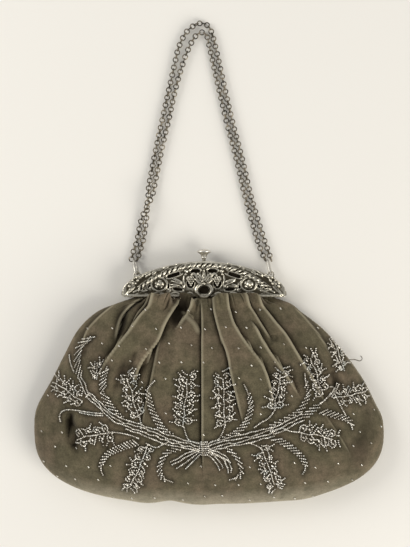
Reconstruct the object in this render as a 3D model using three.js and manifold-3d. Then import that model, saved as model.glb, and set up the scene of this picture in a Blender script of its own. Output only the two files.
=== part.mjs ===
// Evening bag: a gathered velvet pouch in a cast and pierced silver frame with a press clasp and a double
// chain handle. It lies on its back: X runs across the bag, Y from the hem to the handle, and Z up from the
// surface.

import * as THREE from "three";
import { mergeVertices } from "three/addons/utils/BufferGeometryUtils.js";
import Module from "manifold-3d";

const wasm = await Module();
wasm.setup();

// Frame, in millimetres. Heights of its parts are measured outwards from the seam between the two halves.
const FRAME_HALF = 68;
const RAIL_Y = 86.6;
const ARCH_FOOT_Y = 92.6;
const ARCH_TOP_Y = 116.6;
const ARCH_POWER = 1.7;
const ARCH_STEPS = 24;
const SEAM_Z = 9.6;
const SEAM_GAP = 0.3;
const PLATE_IN = 4.8;
const PLATE_OUT = 6.8;
const RIM_WALL = 1.8;
const SUNK = 0.5;
const LOBE_SIDES = 6;
const LOBE_RINGS = 3;

// Rope border on each plate: an arc over a chord, of slanted strands in front and a plain round bar behind.
const ROPE_HALF_CHORD = 54;
const ROPE_FOOT_Y = 93.5;
const ROPE_TOP_Y = 113;
const ROPE_BAR = 1.3;
const ROPE_STRANDS = 25;
const STRAND = { long: 2.7, wide: 1.2, rise: 1.9, turn: 38 };

// Rail along the foot of each plate.
const BAR_RADIUS = 1.5;
const BAR_HALF = 64;

// Open oval in the middle of the front rail.
const OVAL_Y = 92.4;
const OVAL = { across: 6.4, up: 5.1, wire: 1.7 };
const OVAL_HOLE = { x: 0, y: OVAL_Y, across: 4.5, up: 3.2, turn: 0, power: 2 };

// Palmette above the oval, rose medallions and grape clusters on both sides of it.
const PALMETTE = { root_y: 99.4, lobes: 7, spread: 150, long: 9.4, short: 6.6, wide: 1.35, rise: 1.7 };
const ROSE = { x: 37.4, y: 97.2, petals: 5, petal_at: 2.4, petal: 1.9, heart: 1.8, rise: 2.2 };
const MEDALLION = { across: 6.3, up: 5.5, wire: 0.9 };
const GRAPES = { x: 11.2, y: 102.6, rows: [3, 2, 1], apart: 2.4, radius: 1.5 };

// Hinges at both ends of the rail, and the pins through their ears.
const HINGE_Y = 89.6;
const HINGE_BORE = 1.3;
const PIN_RADIUS = 1;
const PIN_HEAD = { radius: 1.9, thick: 1 };
const EAR_HALF_HEIGHT = 2.6;
const FRONT_EAR = { inner: 66.2, outer: 68 };
const BACK_EAR = { inner: 63.6, outer: 65.6 };
const CLEAR = 0.3;

// Press clasp: a flared knob on a stem that slides in the crown of the frame, with a collar inside it. The
// knob's profile is in shares of its radius and of its height above the neck.
const STEM_RADIUS = 1.4;
const STEM_BORE = 1.75;
const STEM_FOOT_Y = 106.2;
const COLLAR = { radius: 2.4, thick: 1.4 };
const KNOB = { neck_y: 118.8, top_y: 126.7, radius: 6 };
const KNOB_PROFILE = [[0.35, 0.1], [0.55, 0.42], [0.96, 0.68], [1, 0.77], [0.75, 0.91], [0, 1]];

// Lugs for the handle on the shoulders of the back half, and the long bails that hang in them.
const LUG = { x: 56.5, y: 105.6, radius: 3, hole: 1.8, low: 2.4, thick: 1.2 };
const BAIL = { half_long: 6.4, half_wide: 2.1, wire: 1.2 };
const BAIL_DROP = 20;
const BAIL_YAW = 12;
const BAIL_ROLL = { left: 62, right: 76 };

// Chain strands, as wide over their links.
const CHAIN_DIAMETER = 5;
const CHAIN_SIDES = 8;
const CHAIN_STEPS = 40;

// Cloth of the pouch: its wall, the least it stands out at a fold, the squareness of its sections and of
// its side edge, the section where the hem starts to round off, and how close to an edge the wall turns in.
const WALL = 1.5;
const LEAST_RISE = 4.2;
const SECTION_POWER = 2.6;
const EDGE_POWER = 4;
const HEM_START = 7;
const SIDE_TURN = 8;
const HEM_TURN = 4;

// A fold, as shares of its depth and of half its groove's width, and the sections that it takes to set in
// and to fade out.
const LIP = { rise: 0.45, at: 2, spread: 1.8 };
const SLOPE = { drop: 0.3, spread: 4 };
const FOLD_START = 0.6;
const FOLD_FADE = 1.6;

// Sections at which the cloth's grid has a row, the angles of the rows round the hem, and the least step
// between two columns.
const GRID_ROWS = [0, 1, 1.3, 1.7, 2.4, 3.2, 4, 4.8, 5.8, HEM_START];
const HEM_ANGLES = [30, 55, 75, 90];
const COLUMN_STEP = 0.004;

// Facets of round work.
const ARC_SEGMENTS = 12;
const ROD_SEGMENTS = 8;
const KNOB_SEGMENTS = 14;

const VELVET = new THREE.MeshStandardMaterial({ color: 0x5f5440, roughness: 0.95, metalness: 0 });
const SILVER = new THREE.MeshStandardMaterial({ color: 0x8c8676, roughness: 0.4, metalness: 0.9 });
const STEEL = new THREE.MeshStandardMaterial({ color: 0x6f6a60, roughness: 0.45, metalness: 0.9 });

// Rows of named columns.
function table(columns, rows) {
  return rows.map((row) => Object.fromEntries(columns.map((column, i) => [column, row[i]])));
}

// Sections of the pouch from its mouth to its hem: the height of a section on the centre line and at the
// sides, its half widths, the height of its side edge, and how far the cloth stands in front of it and
// behind it.
const SECTIONS = table(
  ["y_mid", "y_side", "left", "right", "edge", "front", "back"],
  [
    [102, 91, 57, 57, 9.6, 4.4, 4.4],
    [85.8, 85.8, 60, 60, 9.6, 4.4, 4.4],
    [79, 81, 74, 73, 9.8, 11, 8],
    [68, 73.5, 91, 82.5, 10.5, 17, 16],
    [46, 58.8, 106, 101, 11.5, 23, 24],
    [14, 38.6, 117, 118.5, 12, 28, 27],
    [-20, 18.5, 127, 133, 12.5, 30, 28],
    [-52, -2, 138.6, 143.6, 12.5, 29, 28],
    [-69, -14, 142.2, 149.5, 12, 28, 28],
    [-86.5, -26, 142.4, 151.2, 11.5, 26, 28],
  ],
);

// Folds of the front, each from one section to another: where it lies across the bag at four stations, from
// -1 at the left edge to 1 at the right, how deep its groove is (a ridge where negative), half the groove's
// width, and the side on which its lip overlaps. fill is the number of plain columns up to the next fold.
const FOLD_STATIONS = [1, 3.4, 4.5, 5.5];
const FOLDS = table(
  ["name", "rail", "neck", "upper", "middle", "from", "to", "depth", "half", "lip", "fill"],
  [
    ["left_side", -0.93, -0.95, -0.92, -0.92, 1.2, 5.0, 3.5, 2.2, 1, 1],
    ["left_hollow", -0.8, -0.71, -0.735, -0.78, 1, 5.2, 9, 3.2, 1, 1],
    ["left_slit", -0.6, -0.585, -0.6, -0.6, 1, 3.7, 3, 1.6, 0, 1],
    ["left_long", -0.36, -0.37, -0.48, -0.53, 1, 5.3, 8.5, 2.4, 1, 0],
    ["left_pocket", -0.19, -0.255, -0.375, -0.39, 1, 3.7, 9, 3.4, 1, 2],
    ["centre", -0.02, -0.02, -0.02, -0.02, 1, 6.3, 7, 2, 1, 1],
    ["right_first", 0.11, 0.13, 0.19, 0.225, 1, 6, 6.5, 2.2, 1, 1],
    ["right_second", 0.275, 0.31, 0.42, 0.455, 1, 5.9, 7, 2.4, -1, 0],
    ["right_third", 0.42, 0.455, 0.55, 0.64, 1.2, 5.8, 8.5, 2.8, 1, 0],
    ["right_ridge", 0.53, 0.56, 0.62, 0.7, 1, 3.9, -2.5, 2.2, 0, 1],
    ["right_fourth", 0.68, 0.7, 0.735, 0.77, 1, 5.8, 5.5, 2.4, -1, 1],
    ["right_side", 0.92, 0.95, 0.955, 0.95, 1.2, 5.0, 3.5, 2.2, -1, 0],
  ],
);

// Creases that start further down the pouch, with their place across it at the top and at the foot.
const CREASES = table(
  ["name", "top", "foot", "from", "to", "depth", "half", "lip"],
  [
    ["left_crest", -0.345, -0.4, 3.3, 6.4, 2.6, 2.6, 1],
    ["left_dent", -0.955, -0.91, 5.6, 7.4, 6, 3, 1],
    ["right_dent", 0.865, 0.86, 4.6, 5.6, 4, 2.4, 1],
    ["right_slope", 0.79, 0.86, 5.6, 7.4, 3.5, 3, -1],
  ],
);

// Windows pierced in the right half of the front plate, and again mirrored in the left half.
const WINDOWS = table(
  ["x", "y", "across", "up", "turn", "power"],
  [
    [7, 108.4, 4.2, 1.4, -5, 3],
    [25.4, 105, 5.4, 1.6, -17, 4],
    [11.2, 98.4, 3.4, 4.5, 0, 2],
    [21.8, 93, 4.4, 1.2, 6, 2],
    [45.6, 97, 1.3, 3.2, 20, 2],
    [30, 96, 1.1, 3, -10, 2],
    [51, 94, 2.8, 1.8, -28, 1.5],
  ],
);

// Leaves cast on the right half of the front plate, and again mirrored on the left half.
const LEAVES = table(
  ["x", "y", "long", "wide", "rise", "turn"],
  [
    [20.5, 99.4, 4.6, 1.5, 1.7, 25],
    [23.4, 96.8, 4.4, 1.5, 1.6, -12],
    [17.4, 96, 2.6, 1.4, 1.4, 70],
    [14.6, 108, 1.7, 1.5, 1.7, 0],
    [34.6, 103, 2.2, 1.2, 1.4, -25],
    [55, 101.6, 3, 1.3, 1.5, -50],
    [59.4, 98.4, 3, 1.3, 1.5, -40],
    [60, 93, 4, 1, 1.2, -48],
    [62.6, 90.6, 4, 1, 1.2, -48],
  ],
);

// Routes of the two strands on the surface, from the left bail to the right one.
const FIRST_STRAND = [
  [-62, 118.5, 2.6], [-60.4, 125, 2.6], [-57.3, 134.2, 2.6], [-54.8, 147.5, 2.6], [-51.4, 157.7, 2.6],
  [-47.2, 165.4, 2.6], [-43.7, 172, 2.6], [-41.5, 181.5, 2.6], [-38.8, 195.2, 2.6], [-34.9, 214.8, 2.6],
  [-30.2, 234.2, 2.6], [-23.9, 262.5, 2.6], [-17.2, 286.9, 2.6], [-11.9, 300, 2.6], [-7.2, 308, 2.6],
  [-1.8, 311.2, 2.6], [2.2, 307.5, 2.6], [3.9, 300, 2.6], [6.4, 289.1, 2.6], [12.4, 262.5, 2.6],
  [19, 234.2, 2.6], [24.2, 214.8, 2.6], [29.1, 195.2, 2.6], [33.5, 175.7, 2.6], [38.7, 156.2, 2.6],
  [44.3, 136.6, 2.6], [48.4, 125, 2.6], [51.2, 118.5, 2.6],
];
const SECOND_STRAND = [
  [-56.1, 118.5, 2.6], [-54.1, 125, 2.6], [-51.4, 134.2, 2.6], [-49.4, 146, 3.8], [-48.4, 154, 6.8],
  [-48, 163, 8.4], [-47.4, 172, 6.9], [-47.1, 181, 3.8], [-44.6, 195.2, 2.6], [-40.7, 214.8, 2.6],
  [-36.5, 234.2, 2.6], [-30.3, 262.5, 2.6], [-24.4, 286.9, 2.6], [-21.3, 299, 2.6], [-15.2, 311, 2.6],
  [-7.7, 317.4, 2.6], [-0.6, 318.8, 2.6], [5.2, 314.6, 2.6], [8.4, 306, 2.6], [12.4, 289.1, 2.6],
  [18.3, 262.5, 2.6], [24.8, 234.2, 2.6], [30, 214.8, 2.6], [34.9, 195.2, 2.6], [39.3, 175.7, 2.6],
  [44.9, 156.2, 2.6], [51, 136.6, 2.6], [55.1, 125, 2.6], [57.3, 118.5, 2.6],
];

const radians = THREE.MathUtils.degToRad;
const smoothstep = THREE.MathUtils.smoothstep;

// A closed geometry as a solid that can be joined and cut.
function solid(geometry) {
  const plain = geometry.clone();
  plain.deleteAttribute("normal");
  plain.deleteAttribute("uv");
  const merged = mergeVertices(plain, 1e-4);
  const vertProperties = new Float32Array(merged.attributes.position.array);
  const triVerts = new Uint32Array(merged.index.array);
  return new wasm.Manifold(new wasm.Mesh({ numProp: 3, vertProperties, triVerts }));
}

// A solid as a geometry again.
function geometryOf(body) {
  const { vertProperties, triVerts } = body.getMesh();
  const geometry = new THREE.BufferGeometry();
  geometry.setAttribute("position", new THREE.BufferAttribute(vertProperties, 3));
  geometry.setIndex(new THREE.BufferAttribute(triVerts, 1));
  return geometry;
}

function joined(bodies) {
  return bodies.reduce((whole, body) => whole.add(body));
}

// Smooth curve through evenly numbered values, read at any number between them.
function spline(values, at) {
  const last = values.length - 1;
  const left = THREE.MathUtils.clamp(Math.floor(at), 0, last - 1);
  const pick = (i) => values[THREE.MathUtils.clamp(i, 0, last)];
  const t = at - left;
  const [a, b, c, d] = [pick(left - 1), pick(left), pick(left + 1), pick(left + 2)];
  const bend = 2 * a - 5 * b + 4 * c - d;
  const twist = 3 * b - a - 3 * c + d;
  return 0.5 * (2 * b + (c - a) * t + bend * t * t + twist * t ** 3);
}

// Prism over an outline, from one height to another.
function prism(shape, low, high) {
  const geometry = new THREE.ExtrudeGeometry(shape, {
    depth: high - low,
    bevelEnabled: false,
    curveSegments: ARC_SEGMENTS,
  });
  return geometry.translate(0, 0, low);
}

function box(x, y, z) {
  const geometry = new THREE.BoxGeometry(x[1] - x[0], y[1] - y[0], z[1] - z[0]);
  return geometry.translate((x[0] + x[1]) / 2, (y[0] + y[1]) / 2, (z[0] + z[1]) / 2);
}

// Ellipsoid lying on a plate, turned in the plate's plane.
function lobe({ x, y, long, wide, rise, turn }, height) {
  const geometry = new THREE.SphereGeometry(1, LOBE_SIDES, LOBE_RINGS).rotateX(Math.PI / 2);
  geometry.scale(long, wide, rise).rotateZ(radians(turn));
  return geometry.translate(x, y, height);
}

// Oval with corners that grow squarer with its power.
function ovalPoints({ x, y, across, up, turn, power }) {
  const [c, s] = [Math.cos(radians(turn)), Math.sin(radians(turn))];
  return Array.from({ length: ARC_SEGMENTS }, (_, i) => {
    const angle = (2 * Math.PI * (i + 0.5)) / ARC_SEGMENTS;
    const u = across * Math.sign(Math.cos(angle)) * Math.abs(Math.cos(angle)) ** (2 / power);
    const w = up * Math.sign(Math.sin(angle)) * Math.abs(Math.sin(angle)) ** (2 / power);
    return new THREE.Vector2(x + u * c - w * s, y + u * s + w * c);
  });
}

const mirrored = (item) => [item, { ...item, x: -item.x, turn: -item.turn }];

// Arch of the frame from its right foot to its left foot, drawn in by an inset.
function archPoints(inset) {
  const half = FRAME_HALF - inset;
  const rise = ARCH_TOP_Y - inset - ARCH_FOOT_Y;
  const points = Array.from({ length: ARCH_STEPS + 1 }, (_, i) => {
    const angle = (Math.PI * i) / ARCH_STEPS;
    const x = half * Math.sign(Math.cos(angle)) * Math.abs(Math.cos(angle)) ** (2 / ARCH_POWER);
    return new THREE.Vector2(x, ARCH_FOOT_Y + rise * Math.abs(Math.sin(angle)) ** (2 / ARCH_POWER));
  });
  return [new THREE.Vector2(half, RAIL_Y), ...points, new THREE.Vector2(-half, RAIL_Y)];
}

// Arch-shaped plate with its windows, and the rim that runs from it to the seam.
function tray(windows) {
  const plate = new THREE.Shape(archPoints(0));
  plate.holes = windows.map((window) => new THREE.Path(ovalPoints(window)));
  const rim = new THREE.Shape([...archPoints(0), ...archPoints(RIM_WALL).reverse()]);
  const parts = [prism(plate, PLATE_IN, PLATE_OUT), prism(rim, SEAM_GAP / 2, PLATE_IN + SUNK)];
  return joined(parts.map(solid));
}

// Point and direction on the rope's arc, from -1 at its left foot to 1 at its right foot.
function ropeAt(t) {
  const rise = ROPE_TOP_Y - ROPE_FOOT_Y;
  const radius = (ROPE_HALF_CHORD ** 2 + rise ** 2) / (2 * rise);
  const angle = t * Math.asin(ROPE_HALF_CHORD / radius);
  return {
    x: radius * Math.sin(angle),
    y: ROPE_TOP_Y - radius * (1 - Math.cos(angle)),
    turn: -THREE.MathUtils.radToDeg(angle),
  };
}

// Round bar along a path of points.
function bar(points, radius, sides, steps) {
  const circle = new THREE.EllipseCurve(0, 0, radius, radius).getPoints(sides);
  const section = new THREE.Shape(circle.slice(0, sides));
  const extrudePath = new THREE.CatmullRomCurve3(points.map((point) => new THREE.Vector3(...point)));
  return new THREE.ExtrudeGeometry(section, { steps, extrudePath, bevelEnabled: false });
}

function ropeBar() {
  const points = Array.from({ length: 9 }, (_, i) => {
    const { x, y } = ropeAt(i / 4 - 1);
    return [x, y, PLATE_OUT];
  });
  return solid(bar(points, ROPE_BAR, 6, 14));
}

function ropeStrands() {
  return Array.from({ length: ROPE_STRANDS }, (_, i) => {
    const { x, y, turn } = ropeAt((2 * i) / (ROPE_STRANDS - 1) - 1);
    return solid(lobe({ ...STRAND, x, y, turn: turn + STRAND.turn }, PLATE_OUT));
  });
}

function rail() {
  const points = [-BAR_HALF, 0, BAR_HALF].map((x) => [x, RAIL_Y + BAR_RADIUS, PLATE_OUT]);
  return solid(bar(points, BAR_RADIUS, ROD_SEGMENTS, 1));
}

// Ring of oval form lying on the plate.
function ovalRing({ across, up, wire }, x, y, height, around = 20) {
  const geometry = new THREE.TorusGeometry(across, wire, 6, around);
  return solid(geometry.scale(1, up / across, 1).translate(x, y, height));
}

function palmette() {
  const { root_y, lobes, spread, long, short, wide, rise } = PALMETTE;
  return Array.from({ length: lobes }, (_, i) => {
    const side = (2 * i) / (lobes - 1) - 1;
    const length = THREE.MathUtils.lerp(long, short, Math.abs(side));
    const lean = radians((side * spread) / 2);
    const [x, y] = [(length / 2) * Math.sin(lean), root_y + (length / 2) * Math.cos(lean)];
    return solid(lobe({ x, y, long: length / 2, wide, rise, turn: 90 - (side * spread) / 2 }, PLATE_OUT));
  });
}

function rose(side) {
  const { x, y, petals, petal_at, petal, heart, rise } = ROSE;
  const heartLobe = { x: side * x, y, long: heart, wide: heart, rise, turn: 0 };
  const petalLobes = Array.from({ length: petals }, (_, i) => {
    const angle = (2 * Math.PI * i) / petals;
    const [dx, dy] = [petal_at * Math.cos(angle), petal_at * Math.sin(angle)];
    return { x: side * x + dx, y: y + dy, long: petal, wide: petal, rise: rise * 0.7, turn: 0 };
  });
  const ring = ovalRing(MEDALLION, side * x, y, PLATE_OUT, 16);
  return [ring, ...[heartLobe, ...petalLobes].map((item) => solid(lobe(item, PLATE_OUT)))];
}

function grapes(side) {
  const { x, y, rows, apart, radius } = GRAPES;
  return rows.flatMap((count, row) => Array.from({ length: count }, (_, i) => {
    const ball = { long: radius, wide: radius, rise: radius, turn: 0 };
    ball.x = side * x + (i - (count - 1) / 2) * apart;
    ball.y = y - row * apart * 0.9;
    return solid(lobe(ball, PLATE_OUT - SUNK));
  }));
}

// Round bar or bore along X.
function rod(radius, from, to) {
  const geometry = new THREE.CylinderGeometry(radius, radius, to - from, ROD_SEGMENTS).rotateZ(Math.PI / 2);
  return geometry.translate((from + to) / 2, HINGE_Y, 0);
}

// Ears of one half at both ends, which reach past the seam.
function ears({ inner, outer }) {
  return [1, -1].map((side) => {
    const x = [side * inner, side * outer].sort((a, b) => a - b);
    return solid(box(x, [RAIL_Y, ARCH_FOOT_Y], [-EAR_HALF_HEIGHT, PLATE_IN + SUNK]));
  });
}

// Bores for the hinge pins and for the clasp's stem, half of which is in each half of the frame.
function bores() {
  const length = ARCH_TOP_Y - STEM_FOOT_Y;
  const stem = new THREE.CylinderGeometry(STEM_BORE, STEM_BORE, 2 * length, ARC_SEGMENTS);
  const reach = [BACK_EAR.inner - 1, FRAME_HALF + 1];
  const pins = [rod(HINGE_BORE, ...reach), rod(HINGE_BORE, -reach[1], -reach[0])];
  return joined([stem.translate(0, ARCH_TOP_Y, 0), ...pins].map(solid));
}

function lugs() {
  return [1, -1].map((side) => {
    const [x, foot] = [side * LUG.x, LUG.y - 2 * LUG.radius];
    const outline = new THREE.Shape();
    outline.moveTo(x - LUG.radius, foot);
    outline.lineTo(x + LUG.radius, foot);
    outline.absarc(x, LUG.y, LUG.radius, 0, Math.PI, false);
    outline.closePath();
    outline.holes = [new THREE.Path().absarc(x, LUG.y, LUG.hole, 0, 2 * Math.PI, true)];
    return solid(prism(outline, LUG.low, LUG.low + LUG.thick));
  });
}

function frameFront() {
  const windows = [OVAL_HOLE, ...WINDOWS.flatMap(mirrored)];
  const leaves = LEAVES.flatMap(mirrored).map((leaf) => solid(lobe(leaf, PLATE_OUT)));
  const cast = [...ropeStrands(), rail(), ...palmette(), ...leaves];
  const sides = [1, -1].flatMap((side) => [...rose(side), ...grapes(side)]);
  const inside = new THREE.Shape(ovalPoints(OVAL_HOLE));
  const hole = solid(prism(inside, PLATE_IN - 1, PLATE_OUT + 2 * OVAL.wire));
  const oval = ovalRing(OVAL, 0, OVAL_Y, PLATE_OUT).subtract(hole);
  const face = joined([tray(windows), ...cast, ...sides]).subtract(hole).add(oval);
  const half = joined([face, ...ears(FRONT_EAR)]).subtract(bores());
  const mesh = new THREE.Mesh(geometryOf(half), SILVER);
  mesh.name = "frame_front";
  mesh.position.z = SEAM_Z;
  return mesh;
}

// The back half is turned over, and is cut back where the front ears pass it.
function frameBack() {
  const passes = [1, -1].map((side) => {
    const x = [side * (FRONT_EAR.inner - CLEAR), side * (FRAME_HALF + 1)].sort((a, b) => a - b);
    return solid(box(x, [RAIL_Y - 1, ARCH_FOOT_Y + CLEAR], [-1, EAR_HALF_HEIGHT + CLEAR]));
  });
  const body = joined([tray([]), ropeBar(), rail(), ...lugs()]);
  const half = joined([body.subtract(joined(passes)), ...ears(BACK_EAR)]).subtract(bores());
  const mesh = new THREE.Mesh(geometryOf(half), SILVER);
  mesh.name = "frame_back";
  mesh.position.z = SEAM_Z;
  mesh.rotation.y = Math.PI;
  return mesh;
}

function hingePin(side, name) {
  const ends = [BACK_EAR.inner - CLEAR, FRONT_EAR.outer + CLEAR];
  const head = PIN_HEAD.thick;
  const shaft = solid(rod(PIN_RADIUS, ends[0] - head / 2, ends[1] + head / 2));
  const heads = [[ends[0] - head, ends[0]], [ends[1], ends[1] + head]];
  const pin = joined([shaft, ...heads.map(([from, to]) => solid(rod(PIN_HEAD.radius, from, to)))]);
  const mesh = new THREE.Mesh(geometryOf(pin), SILVER);
  mesh.name = name;
  mesh.position.z = SEAM_Z;
  mesh.rotation.y = side > 0 ? 0 : Math.PI;
  return mesh;
}

function claspButton() {
  const collarTop = STEM_FOOT_Y + COLLAR.thick;
  const height = KNOB.top_y - KNOB.neck_y;
  const knob = KNOB_PROFILE.map(([out, up]) => [out * KNOB.radius, KNOB.neck_y + up * height]);
  const collar = [[0, STEM_FOOT_Y], [COLLAR.radius, STEM_FOOT_Y], [COLLAR.radius, collarTop]];
  const stem = [[STEM_RADIUS, collarTop], [STEM_RADIUS, KNOB.neck_y]];
  const profile = [...collar, ...stem, ...knob].map((point) => new THREE.Vector2(...point));
  const geometry = new THREE.LatheGeometry(profile, KNOB_SEGMENTS);
  const mesh = new THREE.Mesh(geometry, SILVER);
  mesh.name = "clasp_button";
  mesh.position.z = SEAM_Z;
  return mesh;
}

// A bail stands in its lug's hole, with the lug's edge midway between its arms, and slopes down to the
// surface, where the strands leave it.
function bail(side, name) {
  const { half_long, half_wide, wire } = BAIL;
  const geometry = new THREE.TorusGeometry(half_wide, wire / 2, 6, 14);
  const position = geometry.attributes.position;
  const straight = half_long - half_wide;
  for (let i = 0; i < position.count; i += 1) {
    const y = position.getY(i);
    position.setY(i, y + straight * Math.sign(Math.round(y * 1e4)) + half_long);
  }
  const mesh = new THREE.Mesh(geometry, SILVER);
  mesh.name = name;
  mesh.rotation.order = "ZXY";
  const roll = side < 0 ? BAIL_ROLL.left : BAIL_ROLL.right;
  mesh.rotation.set(-radians(BAIL_DROP), radians(roll), radians(BAIL_YAW));
  const lift = ((LUG.radius + LUG.hole) / 2) * Math.tan(radians(BAIL_DROP));
  mesh.position.set(side * LUG.x, LUG.y, SEAM_Z - LUG.low - LUG.thick / 2 + lift);
  return mesh;
}

function strand(route, name) {
  const mesh = new THREE.Mesh(bar(route, CHAIN_DIAMETER / 2, CHAIN_SIDES, CHAIN_STEPS), STEEL);
  mesh.name = name;
  return mesh;
}

function sectionAt(v) {
  return Object.fromEntries(Object.keys(SECTIONS[0]).map((column) => {
    return [column, spline(SECTIONS.map((section) => section[column]), v)];
  }));
}

// Where a fold lies across the bag at a section.
function foldAcross(fold, v) {
  const places = [fold.rail, fold.neck, fold.upper, fold.middle];
  const next = FOLD_STATIONS.findIndex((station) => station > v);
  if (next === 0) return places[0];
  if (next < 0) return places[places.length - 1];
  const [from, to] = [FOLD_STATIONS[next - 1], FOLD_STATIONS[next]];
  return spline(places, next - 1 + (v - from) / (to - from));
}

// Height of a fold at a signed distance from its groove: the groove, a raised lip on the side that
// overlaps, and a long sunken slope on the other side.
function foldHeight({ depth, half, lip }, distance) {
  const away = Math.abs(distance) / half;
  const groove = Math.exp(-(away ** 2));
  const crest = LIP.rise * Math.exp(-(((away - LIP.at) / LIP.spread) ** 2));
  const slope = SLOPE.drop * (groove - Math.exp(-away / SLOPE.spread));
  const overlaps = lip === 0 || lip * distance > 0;
  return depth * ((overlaps ? crest : slope) - groove);
}

// A fold sets in just below where it starts and fades out towards its foot.
function foldStrength({ from, to }, v) {
  return smoothstep(v, from, from + FOLD_START) * (1 - smoothstep(v, to - FOLD_FADE, to));
}

function foldsAt(s, v, width) {
  const pleats = FOLDS.map((fold) => {
    return foldStrength(fold, v) * foldHeight(fold, (s - foldAcross(fold, v)) * width);
  });
  const creases = CREASES.map((crease) => {
    const along = THREE.MathUtils.clamp((v - crease.from) / (crease.to - crease.from), 0, 1);
    const place = THREE.MathUtils.lerp(crease.top, crease.foot, along);
    return Math.sin(Math.PI * along) * foldHeight(crease, (s - place) * width);
  });
  return [...pleats, ...creases].reduce((sum, height) => sum + height, 0);
}

// Point of the cloth's outer or inner face. The folds leave the mouth open behind them, and the back is
// pressed flat where it meets the surface.
function clothPoint(s, v, face, depth) {
  const row = sectionAt(v);
  const width = s < 0 ? row.left : row.right;
  const hem = THREE.MathUtils.clamp((v - HEM_START) / (SECTIONS.length - 1 - HEM_START), 0, 1);
  const round = Math.sqrt(1 - Math.abs(s) ** EDGE_POWER) * Math.sqrt(1 - hem ** 2);
  const bow = Math.pow(1 - Math.abs(s) ** SECTION_POWER, 1 / SECTION_POWER);
  const point = new THREE.Vector3(s * width, row.y_side + (row.y_mid - row.y_side) * bow, row.edge);
  const rise = Math.max(row.front + foldsAt(s, v, width), LEAST_RISE);
  point.z += face > 0 ? rise * round : -Math.min(row.edge, row.back * round);
  const sideways = -Math.sign(s) * Math.abs(s) ** SIDE_TURN;
  const inwards = new THREE.Vector3(sideways, hem ** HEM_TURN, -face * round);
  return point.addScaledVector(inwards.normalize(), depth);
}

// Columns of the cloth's grid at a section: one along each fold, one on each shoulder of a fold that
// overlaps, and plain ones between folds.
function columnsAt(v) {
  const row = sectionAt(v);
  const columns = [-1];
  let fill = 0;
  for (const fold of FOLDS) {
    const place = foldAcross(fold, v);
    const shoulder = (LIP.at * fold.half) / (place < 0 ? row.left : row.right);
    const from = columns[columns.length - 1];
    for (let i = 1; i <= fill; i += 1) columns.push(from + ((place - shoulder - from) * i) / (fill + 1));
    columns.push(...(fold.lip === 0 ? [place] : [place - shoulder, place, place + shoulder]));
    fill = fold.fill;
  }
  columns.push(1);
  const last = columns.length - 1;
  for (let i = 1; i < last; i += 1) {
    columns[i] = Math.min(1 - COLUMN_STEP * (last - i), Math.max(columns[i], columns[i - 1] + COLUMN_STEP));
  }
  return columns;
}

// Front and back of the cloth with their outer and inner faces, joined at the sides, the hem and the mouth.
function pouch() {
  const hemLength = SECTIONS.length - 1 - HEM_START;
  const hemRows = HEM_ANGLES.map((angle) => HEM_START + hemLength * Math.sin(radians(angle)));
  const grid = [...GRID_ROWS, ...hemRows].map((v) => ({ v, columns: columnsAt(v) }));
  const positions = [];
  const quad = (a, b, c, d) => {
    for (const corner of [a, b, c, a, c, d]) positions.push(...corner.toArray());
  };
  const wall = (face, depth, facing) => {
    const points = grid.map(({ v, columns }) => columns.map((s) => clothPoint(s, v, face, depth)));
    for (let r = 0; r + 1 < points.length; r += 1) {
      for (let c = 0; c + 1 < points[r].length; c += 1) {
        const ring = [points[r][c], points[r + 1][c], points[r + 1][c + 1], points[r][c + 1]];
        quad(...(facing > 0 ? ring : ring.reverse()));
      }
    }
    return points[0];
  };
  for (const face of [1, -1]) {
    const outer = wall(face, 0, face);
    const inner = wall(face, WALL, -face);
    for (let c = 0; c + 1 < outer.length; c += 1) {
      const ring = [outer[c], outer[c + 1], inner[c + 1], inner[c]];
      quad(...(face > 0 ? ring : ring.reverse()));
    }
  }
  const geometry = new THREE.BufferGeometry();
  geometry.setAttribute("position", new THREE.Float32BufferAttribute(positions, 3));
  const mesh = new THREE.Mesh(mergeVertices(geometry, 1e-4), VELVET);
  mesh.name = "pouch";
  return mesh;
}

const bag = new THREE.Group();
bag.name = "evening_bag";
bag.add(pouch());
bag.add(frameFront(), frameBack());
bag.add(hingePin(-1, "hinge_pin_left"), hingePin(1, "hinge_pin_right"));
bag.add(claspButton());
bag.add(bail(-1, "bail_left"), bail(1, "bail_right"));
bag.add(strand(FIRST_STRAND, "chain_first"), strand(SECOND_STRAND, "chain_second"));

export default bag;
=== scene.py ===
# Evening bag lying on its back: a beaded velvet pouch in a cast and pierced silver frame, with a press
# clasp and a double chain handle. X runs across the bag, Y from hem to handle, Z up from the surface.
import math

import bpy
import numpy as np
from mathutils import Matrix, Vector
from mathutils.bvhtree import BVHTree
from mathutils.kdtree import KDTree


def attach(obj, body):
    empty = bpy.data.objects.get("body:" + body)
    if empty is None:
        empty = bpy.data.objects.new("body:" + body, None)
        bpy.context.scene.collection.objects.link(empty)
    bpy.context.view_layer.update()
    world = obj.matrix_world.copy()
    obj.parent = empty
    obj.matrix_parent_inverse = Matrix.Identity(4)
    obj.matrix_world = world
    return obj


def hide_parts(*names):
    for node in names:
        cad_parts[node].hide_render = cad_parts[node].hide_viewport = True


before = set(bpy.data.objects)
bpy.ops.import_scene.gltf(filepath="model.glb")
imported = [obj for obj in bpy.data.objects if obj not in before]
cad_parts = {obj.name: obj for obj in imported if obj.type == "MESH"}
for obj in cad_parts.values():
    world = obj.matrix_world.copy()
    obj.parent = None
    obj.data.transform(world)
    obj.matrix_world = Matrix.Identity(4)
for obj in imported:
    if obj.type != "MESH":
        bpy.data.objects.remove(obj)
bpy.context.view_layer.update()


# Pouch: taupe cotton velvet in two pieces, sewn up the sides and along the hem. Its top is drawn up in deep
# pleats that are gripped in the frame, and it lies a little filled out, pressed flat where it rests.

MM = 0.001
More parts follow.
